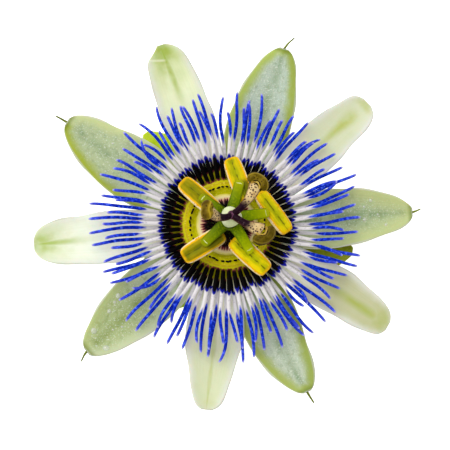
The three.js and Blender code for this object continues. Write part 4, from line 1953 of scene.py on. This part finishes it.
@dataclass(frozen=True)
class Throat:
    """The yellow ring inside the corona with its row of short dark-headed filaments."""

    base_z: float = CUP_RIM_Z + 0.3
    crest_z: float = CUP_RIM_Z + 2.0
    knobs: int = 55
    knob_radius: float = 8.8
    knob_half: tuple[float, float, float] = (0.24, 0.42, 0.2)
    neck_height: float = 1.0

    def build(self) -> None:
        """Makes the ring and its knobs."""
        base, crest = self.base_z, self.crest_z
        profile = (
            (6.2, base), (9.4, base), (10.0, base + 0.5), (10.35, crest + 0.05), (10.1, crest + 0.38),
            (9.5, crest + 0.36), (8.95, crest + 0.1), (8.5, crest - 0.3),
            (7.9, base + 0.95), (7.4, base + 0.8), (6.6, base + 0.8), (6.2, base + 0.6), (6.2, base),
        )
        bench = turned("throat_disc", profile, 2 * self.knobs)

        def pleated(p: Vector) -> Vector:
            """Pleats the upper side of the ring's outer part."""
            rise = 0.06 * math.sin(self.knobs * bearing(p)) * smooth(math.hypot(p.x, p.y), 7.6, 8.8)
            return Vector((p.x, p.y, p.z + (rise if p.z > base + 0.4 else 0.0)))

        bench.sculpt(pleated)
        bench.subdivide(1)
        bench.stand()
        stops = (
            (6.0, tint(206, 200, 60)), (7.3, tint(214, 208, 20)), (7.8, tint(206, 204, 4)),
            (8.3, tint(222, 218, 2)), (8.8, tint(240, 230, 4)), (9.4, tint(214, 200, 4)),
            (10.2, tint(176, 144, 24)),
        )
        skin = RingFinish(
            "throat_skin", stops, tint(250, 244, 90), uneven=0.8, ridge=0.8, speck_share=0.4
        )
        bench.fit(skin.make(), "throat", "throat_ring")
        self.heads()

    def heads(self) -> None:
        """Makes the knobs: a thin neck, and a dark head that lies across it."""
        line = [Station(0, 0, 0.3, 0.3), Station(self.neck_height, 0, 0.26, 0.26)]
        neck = drawn("throat_necks", line, 6)
        neck.place(turns=(0, -90, 0))
        head = Bench.ball("throat_knobs", 10, 6, self.knob_half)
        up = Vector((0, 0, self.neck_height))
        necks, heads = [], []
        for i in range(self.knobs):
            angle = 360 / self.knobs * (i + 0.22 * scatter(i, 51))
            at = polar(self.knob_radius + 0.12 * scatter(i, 52), angle, self.crest_z - 0.3)
            necks.append(neck.copy(f"neck_{i}"))
            necks[-1].place(at, (0, 4 * scatter(i, 53), angle))
            heads.append(head.copy(f"head_{i}"))
            heads[-1].piece.scale = (1, 1 + 0.35 * scatter(i, 54), 1)
            heads[-1].place(at + up, (0, 0, angle + 14 * scatter(i, 55)))
        for first, copies, finish in (
            (neck, necks, PlainFinish("neck_skin", tint(170, 168, 20), tint(120, 100, 20))),
            (head, heads, PlainFinish("knob_skin", tint(4, 2, 4), tint(20, 8, 14), roughness=0.5)),
        ):
            row = Bench.joined(first.piece.name + "_row", copies)
            first.scrap()
            row.stand()
            row.fit(finish.make(), "throat", crease=80)


@dataclass(frozen=True)
class Operculum:
    """The cream ring and the dark fringe that leans in to the column."""

    z: float = CUP_RIM_Z + 1.4
    folds: int = 40
    teeth: int = 56

    def build(self) -> None:
        """Makes the ring and the fringe."""
        z = self.z
        profile = (
            (5.9, z), (7.3, z), (7.4, z + 0.4), (7.1, z + 0.75), (6.7, z + 0.85), (6.3, z + 0.84),
            (5.8, z + 0.95), (5.2, z + 1.1), (4.7, z + 1.2), (4.7, z + 1.0), (5.4, z + 0.75), (5.9, z),
        )
        bench = turned("operculum_band", profile, 2 * self.folds)

        def folded(p: Vector) -> Vector:
            """Folds the ring's upper side."""
            rise = 0.05 * math.sin(self.folds * bearing(p))
            return Vector((p.x, p.y, p.z + (rise if p.z > z + 0.3 else 0.0)))

        bench.sculpt(folded)
        bench.subdivide(1)
        bench.stand()
        stops = (
            (4.7, tint(40, 8, 18)), (5.1, tint(100, 40, 50)), (5.5, tint(192, 132, 112)),
            (6.1, tint(228, 194, 144)), (6.6, tint(238, 222, 164)), (7.0, tint(228, 216, 116)),
            (7.4, tint(206, 202, 60)),
        )
        skin = RingFinish("operculum_skin", stops, tint(240, 228, 190))
        bench.fit(skin.make(), "operculum", "operculum")
        self.fringe()

    def fringe(self) -> None:
        """Makes the fringe's narrow teeth."""
        z = self.z + 0.45
        stations = [
            Station(2.4, z + 0.8, 0.16, 0.18), Station(3.1, z + 0.95, 0.28, 0.26),
            Station(3.9, z + 1.0, 0.38, 0.32), Station(4.7, z + 0.95, 0.44, 0.36),
            Station(5.4, z + 0.72, 0.46, 0.36), Station(5.95, z + 0.55, 0.36, 0.3),
            Station(6.35, z + 0.4, 0.12, 0.16),
        ]
        master = drawn("tooth", stations, 6)
        teeth = []
        for i in range(self.teeth):
            angle = 360 / self.teeth * (i + 0.15 * scatter(i, 61)) + 1.5 * scatter(i, 62)
            teeth.append(master.copy(f"tooth_{i}"))
            teeth[-1].place(Vector((0, 0, 0.12 * scatter(i, 63))), (0, 0, angle))
        master.scrap()
        fringe = Bench.joined("operculum_fringe", teeth)
        fringe.stand()
        # Partly the fringe's own dark purple and partly painted shade: near black inward, where it lies
        # deep in the throat.
        stops = (
            (0.0, tint(3, 1, 2)), (4.8, tint(8, 2, 4)), (5.4, tint(40, 6, 16)), (5.9, tint(116, 28, 50)),
            (6.4, tint(190, 120, 120)),
        )
        skin = RingFinish("fringe_skin", stops, tint(150, 60, 60), uneven=1.0, speck_share=0.05)
        fringe.fit(skin.make(), "operculum", crease=75)


# ---- stamens


@dataclass(frozen=True)
class Stamen:
    """One stamen: its strap's direction and reach, its anther's place and turns, and the painted light
    and shade that lighten or darken their colours.
    """

    angle: float
    reach: float
    anther_reach: float
    anther_angle: float
    axis: float
    pitch: float
    roll: float
    length: float
    width: float
    strap_tone: float
    tone: float
    # Strength and side of the painted shadow on the anther's inner end.
    inner_shadow: float = 0.0


ANTHER_WIDTHS = (
    (-0.5, 0.46), (-0.485, 0.66), (-0.45, 0.83), (-0.38, 0.95), (-0.2, 1.01), (0, 1.02), (0.2, 1.0),
    (0.38, 0.94), (0.45, 0.82), (0.485, 0.65), (0.5, 0.44),
)
ANTHER_GROOVE = (0.0, 0.66)
ANTHER_SIDE = (
    (-0.16, 0.74), (-0.34, 0.98), (-0.52, 0.9), (-0.64, 0.62), (-0.74, 0.6), (-0.88, 0.46),
    (-0.97, 0.2), (-1.0, -0.08), (-0.9, -0.5), (-0.62, -0.9), (-0.25, -0.98),
)
ANTHER_SECTION = (ANTHER_GROOVE, *ANTHER_SIDE, *((-y, z) for y, z in reversed(ANTHER_SIDE)))


@dataclass(frozen=True)
class Stamens:
    """Five green straps from the collar, each with an anther that hangs under its end."""

    places: tuple[Stamen, ...] = (
        # The last numbers are painted light and shade for the strap and the anther, then the anther's
        # painted shadow.
        Stamen(10.7, 8.6, 10.5, 11.3, 126, 0, 14, 11.4, 4.3, 1.08, 1.5),
        Stamen(75.4, 8.8, 9.9, 77.5, 108, 14, -6, 11.4, 4.5, 0.82, 1.2, -0.85),
        Stamen(141.5, 8.0, 8.8, 141, 138.5, 4, 4, 11.1, 4.6, 0.65, 0.66),
        Stamen(223.4, 7.8, 8.3, 224, 211.5, 8, -4, 10.9, 4.7, 0.75, 0.62, 0.5),
        Stamen(303.4, 8.4, 9.3, 301, 317.5, 0, 5, 10.9, 4.8, 1.25, 1.62),
    )
    strap_z: float = COLUMN_TOP_Z - 0.75
    strap_start: float = 1.2
    strap_steps: int = 8
    strap_half: float = 1.3
    strap_dip: float = 0.35
    under_strap: float = 0.4
    anther_gap: float = 0.45
    thickness: float = 2.2
    grains: int = 84
    grain_radius: float = 0.13
    outline: Curve = through(*ANTHER_WIDTHS)

    def build(self) -> None:
        """Makes the stamens."""
        dust = PlainFinish("pollen_dust", tint(236, 176, 8), tint(204, 130, 6), 900.0, 0.85).make()
        for i, stamen in enumerate(self.places, 1):
            strap_skin = StrapFinish(f"strap_skin_{i}", stamen.strap_tone).make()
            self.strap(i, stamen, strap_skin)
            pod_skin = AntherFinish(f"anther_skin_{i}", stamen.tone, stamen.inner_shadow).make()
            self.anther(i, stamen, pod_skin, dust)

    def strap(self, index: int, stamen: Stamen, skin: Material) -> None:
        """Makes one strap, which starts inside the collar and ends in a small lip.

        Args:
            index: The stamen's number.
            stamen: The stamen's sizes.
            skin: The strap's finish.
        """
        start, length = self.strap_start, stamen.reach - self.strap_start
        stations = []
        for t in shares(self.strap_steps):
            arch = 0.55 * math.sin(math.pi * t) - self.strap_dip * t**2
            wide = 2.9 - 0.45 * smooth(t, 0.05, 0.9)
            stations.append(Station(start + length * t, self.strap_z + arch, wide, 0.85 - 0.15 * t))
        end = stations[-1]
        lip = (
            Station(end.x + 0.3, end.z - 0.12, 2.1, 0.62), Station(end.x + 0.75, end.z - 0.55, 1.3, 0.5)
        )
        bench = drawn(f"strap_{index}", [*domed(stations)[: -len(DOME_STEPS)], *lip], 14)
        bench.subdivide(1)
        bench.mark("along", lambda p: (p.x - start) / length)
        bench.mark("across", lambda p: p.y / self.strap_half)
        bench.stand(stamen.angle)
        bench.fit(skin, "strap", f"stamen_strap_{index}")

    def anther(self, index: int, stamen: Stamen, skin: Material, dust: Material) -> None:
        """Makes one anther with the pollen along its two long edges.

        Args:
            index: The stamen's number.
            stamen: The stamen's sizes.
            skin: The pod's finish.
            dust: The pollen's finish.
        """
        stations = [
            Station(
                at * stamen.length, 0, self.outline(at) * stamen.width,
                self.outline(at) ** 0.7 * self.thickness,
            )
            for at, _ in ANTHER_WIDTHS
        ]
        bench = drawn(f"anther_pod_{index}", stations, ANTHER_SECTION)
        bench.subdivide(2)

        def on_map(p: Vector) -> tuple[float, float]:
            """Gives a point's place on the map, seen from above."""
            along = p.x / stamen.length
            return along + 0.5, p.y / stamen.width / self.outline(along) + 0.5

        bench.lay_map(on_map)
        strap_underside = self.strap_z - self.strap_dip - self.under_strap
        height = strap_underside - self.anther_gap - self.thickness / 2
        at = AXIS + polar(stamen.anther_reach, stamen.anther_angle, height)
        turns = (stamen.roll, stamen.pitch, stamen.axis)
        bench.place(at, turns)
        bench.fit(skin, "anther", f"anther_{index}")
        grains = self.pollen(index, stamen)
        grains.place(at, turns)
        grains.fit(dust, "anther")

    def pollen(self, index: int, stamen: Stamen) -> Bench:
        """Scatters grains of pollen along both edges of a pod, more of them at its ends.

        Args:
            index: The stamen's number.
            stamen: The stamen's sizes.

        Returns:
            The bench with the grains in one piece.
        """
        bead = Bench.added(
            "grain", bpy.ops.mesh.primitive_ico_sphere_add, subdivisions=1,
            radius=self.grain_radius * MM,
        )
        grains = []
        traits = index * 7
        for k in range(self.grains):
            side = 1 if k % 2 else -1
            share = (k + 0.5 * scatter(k, traits + 1)) / (self.grains / 2) - 1
            share = math.copysign(abs(share) ** 0.8, share)
            x = share * stamen.length * 0.495
            inward = 0.78 + 0.1 * scatter(k, traits + 2) - 0.4 * smooth(abs(share), 0.9, 1.0)
            y = side * stamen.width / 2 * self.outline(share / 2) * inward
            z = self.thickness / 2 * (0.46 - 0.2 * abs(share)) + 0.06 * scatter(k, traits + 3)
            size = 1 + 0.4 * scatter(k, traits + 4)
            grains.append(bead.copy(f"grain_{k}"))
            grains[-1].piece.scale = (size * 1.4, size, size * 0.8)
            grains[-1].place(Vector((x, y, z)), (0, 0, 60 * scatter(k, traits + 5)))
        bead.scrap()
        return Bench.joined(f"pollen_{index}", grains)


# ---- styles and stigmas


@dataclass(frozen=True)
class Style:
    """One style and its stigma: the style's direction, reach, rise and arch, and the stigma's bend.

    Purple is how far out the style's dark colour reaches, and tone how light its stigma is.
    """

    angle: float
    reach: float
    rise: float
    arch: float
    bend_radius: float
    turn: float
    spread: float
    bow: float
    flare: float
    half: float
    purple: float
    tone: float


@dataclass(frozen=True)
class Pistil:
    """Three dark styles from the top of the ovary, each with a bean-shaped stigma round its end."""

    places: tuple[Style, ...] = (
        Style(51.4, 8.1, 1.3, 1.1, 1.95, -4, 86, -0.7, 3.1, 1.35, 3.4, 0.95),
        Style(179.5, 5.1, 4.9, -0.9, 1.7, 2, 66, 0.9, 3.4, 1.45, 3.6, 1.5),
        Style(331.5, 7.3, 0.9, 1.0, 2.2, 28, 84, -0.4, 3.4, 1.32, 4.0, 0.68),
    )
    purple: Colour = tint(30, 6, 20)
    cream: Colour = tint(220, 194, 138)
    knot_half: tuple[float, float, float] = (1.05, 1.05, 0.84)
    root_width: float = 1.65
    bend_ahead: float = 1.15
    style_steps: int = 10
    stigma_steps: int = 14
    rim_inset: float = 0.95
    rim_half: float = 0.28

    def build(self) -> None:
        """Makes the styles, the knot where they meet, and the stigmas."""
        # The knot's dark purple is clouded with lilac, the lilac a painted highlight.
        knot_skin = PlainFinish("knot_skin", tint(34, 10, 24), tint(112, 66, 92), 1300.0, 0.3).make()
        # The rims' cream is a painted highlight where stigma meets style.
        rim_skin = PlainFinish("rim_skin", tint(206, 178, 84), tint(150, 112, 30), 1500.0).make()
        knot = Bench.ball("style_knot", 24, 14, self.knot_half)
        knot.place(AXIS + Vector((0, 0, STYLE_Z)))
        knot.fit(knot_skin, "style")
        for i, style in enumerate(self.places, 1):
            style_skin = DottedFinish(
                f"style_skin_{i}", self.purple, self.cream, tint(50, 8, 30),
                (style.purple, style.purple + 2.2), 2000.0, 0.48,
            )
            self.style(i, style, style_skin.make())
            stigma_skin = DottedFinish(
                f"stigma_skin_{i}", toned(tint(140, 116, 20), style.tone),
                toned(tint(88, 72, 0), style.tone), tint(56, 40, 0), (2.0, 4.0), 1100.0, 0.26,
                toned(tint(150, 126, 28), style.tone), toned(tint(46, 30, 0), style.tone),
                ring=0.9, speck_share=0.05, roughness=0.5,
            )
            self.stigma(i, style, stigma_skin.make())
            self.rim(i, style, rim_skin)

    def line(self, style: Style, t: float) -> Vector:
        """Draws a style's line, from the axis to its end.

        Args:
            style: The style.
            t: The share of its length.

        Returns:
            The point there, on a style that points along +X.
        """
        root = Vector((0, 0, STYLE_Z))
        middle_z = STYLE_Z + style.rise / 2 + style.arch
        middle = Vector(((self.bend_ahead + style.reach) / 2, 0, middle_z))
        end = Vector((style.reach, 0, STYLE_Z + style.rise))
        return root * (1 - t) ** 2 + middle * 2 * t * (1 - t) + end * t**2

    def width(self, style: Style, t: float) -> float:
        """How wide a style is, by share of its length."""
        return self.root_width + (style.flare - self.root_width) * smooth(t, 0.35, 1.0)

    def style(self, index: int, style: Style, skin: Material) -> None:
        """Makes one style, which widens towards its stigma.

        Args:
            index: Its number.
            style: Its sizes.
            skin: Its finish.
        """
        stations = []
        for t in shares(self.style_steps):
            at = self.line(style, t)
            stations.append(Station(at.x, at.z, self.width(style, t), 1.35 + 0.4 * t))
        bench = drawn(f"style_stem_{index}", domed(stations), 14)
        bench.mark("side", lambda p: 2 * p.y / self.width(style, p.x / style.reach))

        def bowed(p: Vector) -> Vector:
            """Bends the style aside, the most at its middle."""
            t = clamp(p.x / style.reach)
            return Vector((p.x, p.y + style.bow * 4 * t * (1 - t), p.z))

        bench.sculpt(bowed)
        bench.subdivide(1)
        bench.stand(style.angle)
        bench.fit(skin, "style", f"style_{index}")

    def stigma(self, index: int, style: Style, skin: Material) -> None:
        """Makes one stigma: a bean with a waist, bent round the end of its style.

        Args:
            index: Its number.
            style: Its style.
            skin: Its finish.
        """
        bench = self.bow(
            f"stigma_cap_{index}", style, style.bend_radius, style.spread,
            lambda share: style.half * self.lobe(share),
        )
        bench.fit(skin, "stigma", f"stigma_{index}")

    def rim(self, index: int, style: Style, skin: Material) -> None:
        """Makes the pale rim between a style and its stigma, a painted highlight along that edge.

        Args:
            index: The style's number.
            style: The style.
            skin: The rim's finish.
        """
        bench = self.bow(
            f"stigma_rim_{index}", style, style.bend_radius - self.rim_inset, style.spread + 12,
            lambda share: self.rim_half,
        )
        bench.place(Vector((0, 0, 0.5)))
        bench.fit(skin, "stigma")

    def lobe(self, share: float) -> float:
        """How thick a stigma is, as a share, from one end at -1 to the other at 1."""
        waist = 0.9 + 0.14 * math.sin(math.pi * min(abs(share), 0.5)) ** 2
        return waist * math.sqrt(max(1 - share**4, 0.06))

    def bow(self, name: str, style: Style, radius: float, spread: float, half_at: Curve) -> Bench:
        """Bends a rod round the end of a style.

        Args:
            name: The piece's name.
            style: The style.
            radius: The radius of the bend.
            spread: How far it reaches to each side, in degrees.
            half_at: Half its thickness, from one end at -1 to the other at 1.

        Returns:
            The bench with the rod in its place.
        """
        stations = []
        for t in shares(self.stigma_steps):
            share = 2 * t - 1
            turn = math.radians(style.turn + spread * share)
            thick = 2 * half_at(share)
            stations.append(Station(radius * math.cos(turn), radius * math.sin(turn), thick, thick))
        bench = drawn(name, stations, 16)
        bench.subdivide(1)
        bench.mark("side", lambda p: (math.hypot(p.x, p.z) - radius) / style.half)
        end, before = self.line(style, 1.0), self.line(style, 0.97)
        climb = math.degrees(math.atan2(end.z - before.z, end.x - before.x))
        bench.place(turns=(90, 0, 0))
        bench.place(end, (0, -climb, 0))
        bench.stand(style.angle)
        return bench


# ---- the studio


@dataclass(frozen=True)
class Studio:
    """A plain white floor, soft light, and a camera that looks down on the flower."""

    look_height: float = 11.0
    distance: float = 294.0
    lean: tuple[float, float] = (-0.435, -0.9)
    lean_degrees: float = 9.0
    aim: tuple[float, float] = (-0.517, -0.118)
    lens: float = 100.0
    floor_size: float = 3.0
    sky: float = 0.55
    key_power: float = 3.3
    key_size: float = 0.55
    key_place: tuple[float, float, float] = (-0.26, 0.2, 0.55)
    near: float = 0.01

    def build(self) -> None:
        """Sets up the floor, the lights and the camera."""
        self.floor()
        self.lights()
        self.camera()

    def floor(self) -> None:
        """Lays the floor."""
        plane = bpy.ops.mesh.primitive_plane_add
        floor = Bench.added("studio_floor", plane, size=self.floor_size)
        material, w, shader = finish_tree("studio_white")
        w.feed(
            shader, base_color=(0.8, 0.8, 0.8), roughness=0.9, specular_ior_level=0.1,
            emission_color=(1.0, 1.0, 1.0), emission_strength=0.8,
        )
        floor.piece.data.materials.append(material)

    def lights(self) -> None:
        """Hangs a large soft light above the flower, to the upper left, under a white sky."""
        world = bpy.data.worlds.new("studio_sky")
        world.use_nodes = True
        backdrop = world.node_tree.nodes["Background"]
        backdrop.inputs["Color"].default_value = (1.0, 1.0, 1.0, 1.0)
        backdrop.inputs["Strength"].default_value = self.sky
        bpy.context.scene.world = world
        light = bpy.data.lights.new("studio_key", "AREA")
        light.energy = self.key_power
        light.size = self.key_size
        key = bpy.data.objects.new("studio_key", light)
        bpy.context.scene.collection.objects.link(key)
        key.location = self.key_place
        key.rotation_euler = (-key.location).to_track_quat("-Z", "Y").to_euler()

    def camera(self) -> None:
        """Aims the camera a little off the axis, as the photograph is framed."""
        lean = math.radians(self.lean_degrees)
        back = Vector(
            (self.lean[0] * math.sin(lean), self.lean[1] * math.sin(lean), math.cos(lean))
        ).normalized()
        right = Vector((0, 1, 0)).cross(back).normalized()
        up = back.cross(right)
        look = AXIS + Vector((0, 0, self.look_height)) + right * self.aim[0] + up * self.aim[1]
        camera = bpy.data.cameras.new("camera")
        camera.lens = self.lens
        camera.clip_start = self.near
        eye = bpy.data.objects.new("camera", camera)
        bpy.context.scene.collection.objects.link(eye)
        turn = Matrix((right, up, back)).transposed().to_4x4()
        eye.matrix_world = Matrix.Translation((look + back * self.distance) * MM) @ turn
        bpy.context.scene.camera = eye
        bpy.context.scene.view_settings.view_transform = "Standard"


LOWER_WIDTH = through(
    (0, 0.7), (0.12, 0.86), (0.3, 0.9), (0.5, 0.83), (0.8, 0.76), (0.955, 0.68), (0.985, 0.57),
    (1, 0.34),
)
UPPER_WIDTH = through(
    (0, 0.7), (0.07, 1.0), (0.2, 1.06), (0.4, 0.9), (0.6, 0.81), (0.955, 0.7), (0.985, 0.6),
    (1, 0.34),
)
CORONA_ROWS = (
    CoronaRow(
        Row.LOWER, 1, CUP_RIM_Z + 0.3, 0.9, 1.2, 10.2, 31.5, 1.5, 2.4, 0.0, LOWER_WIDTH, 12.9, 0.3
    ),
    CoronaRow(
        Row.UPPER, 2, CUP_RIM_Z + 1.5, 0.8, 1.0, 10.1, 28.0, 1.8, 3.0, 0.5, UPPER_WIDTH, 10.65
    ),
)


def main() -> None:
    """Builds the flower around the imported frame, from the bottom up."""
    logging.basicConfig(level=logging.INFO, format="%(name)s: %(message)s")
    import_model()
    Studio().build()
    outer = (Bracts(), Trunk(), Sepals(), Dew(), Petals())
    inner = (*CORONA_ROWS, Throat(), Operculum(), Stamens(), Pistil())
    for part in (*outer, *inner):
        part.build()


if __name__ == "__main__":
    main()
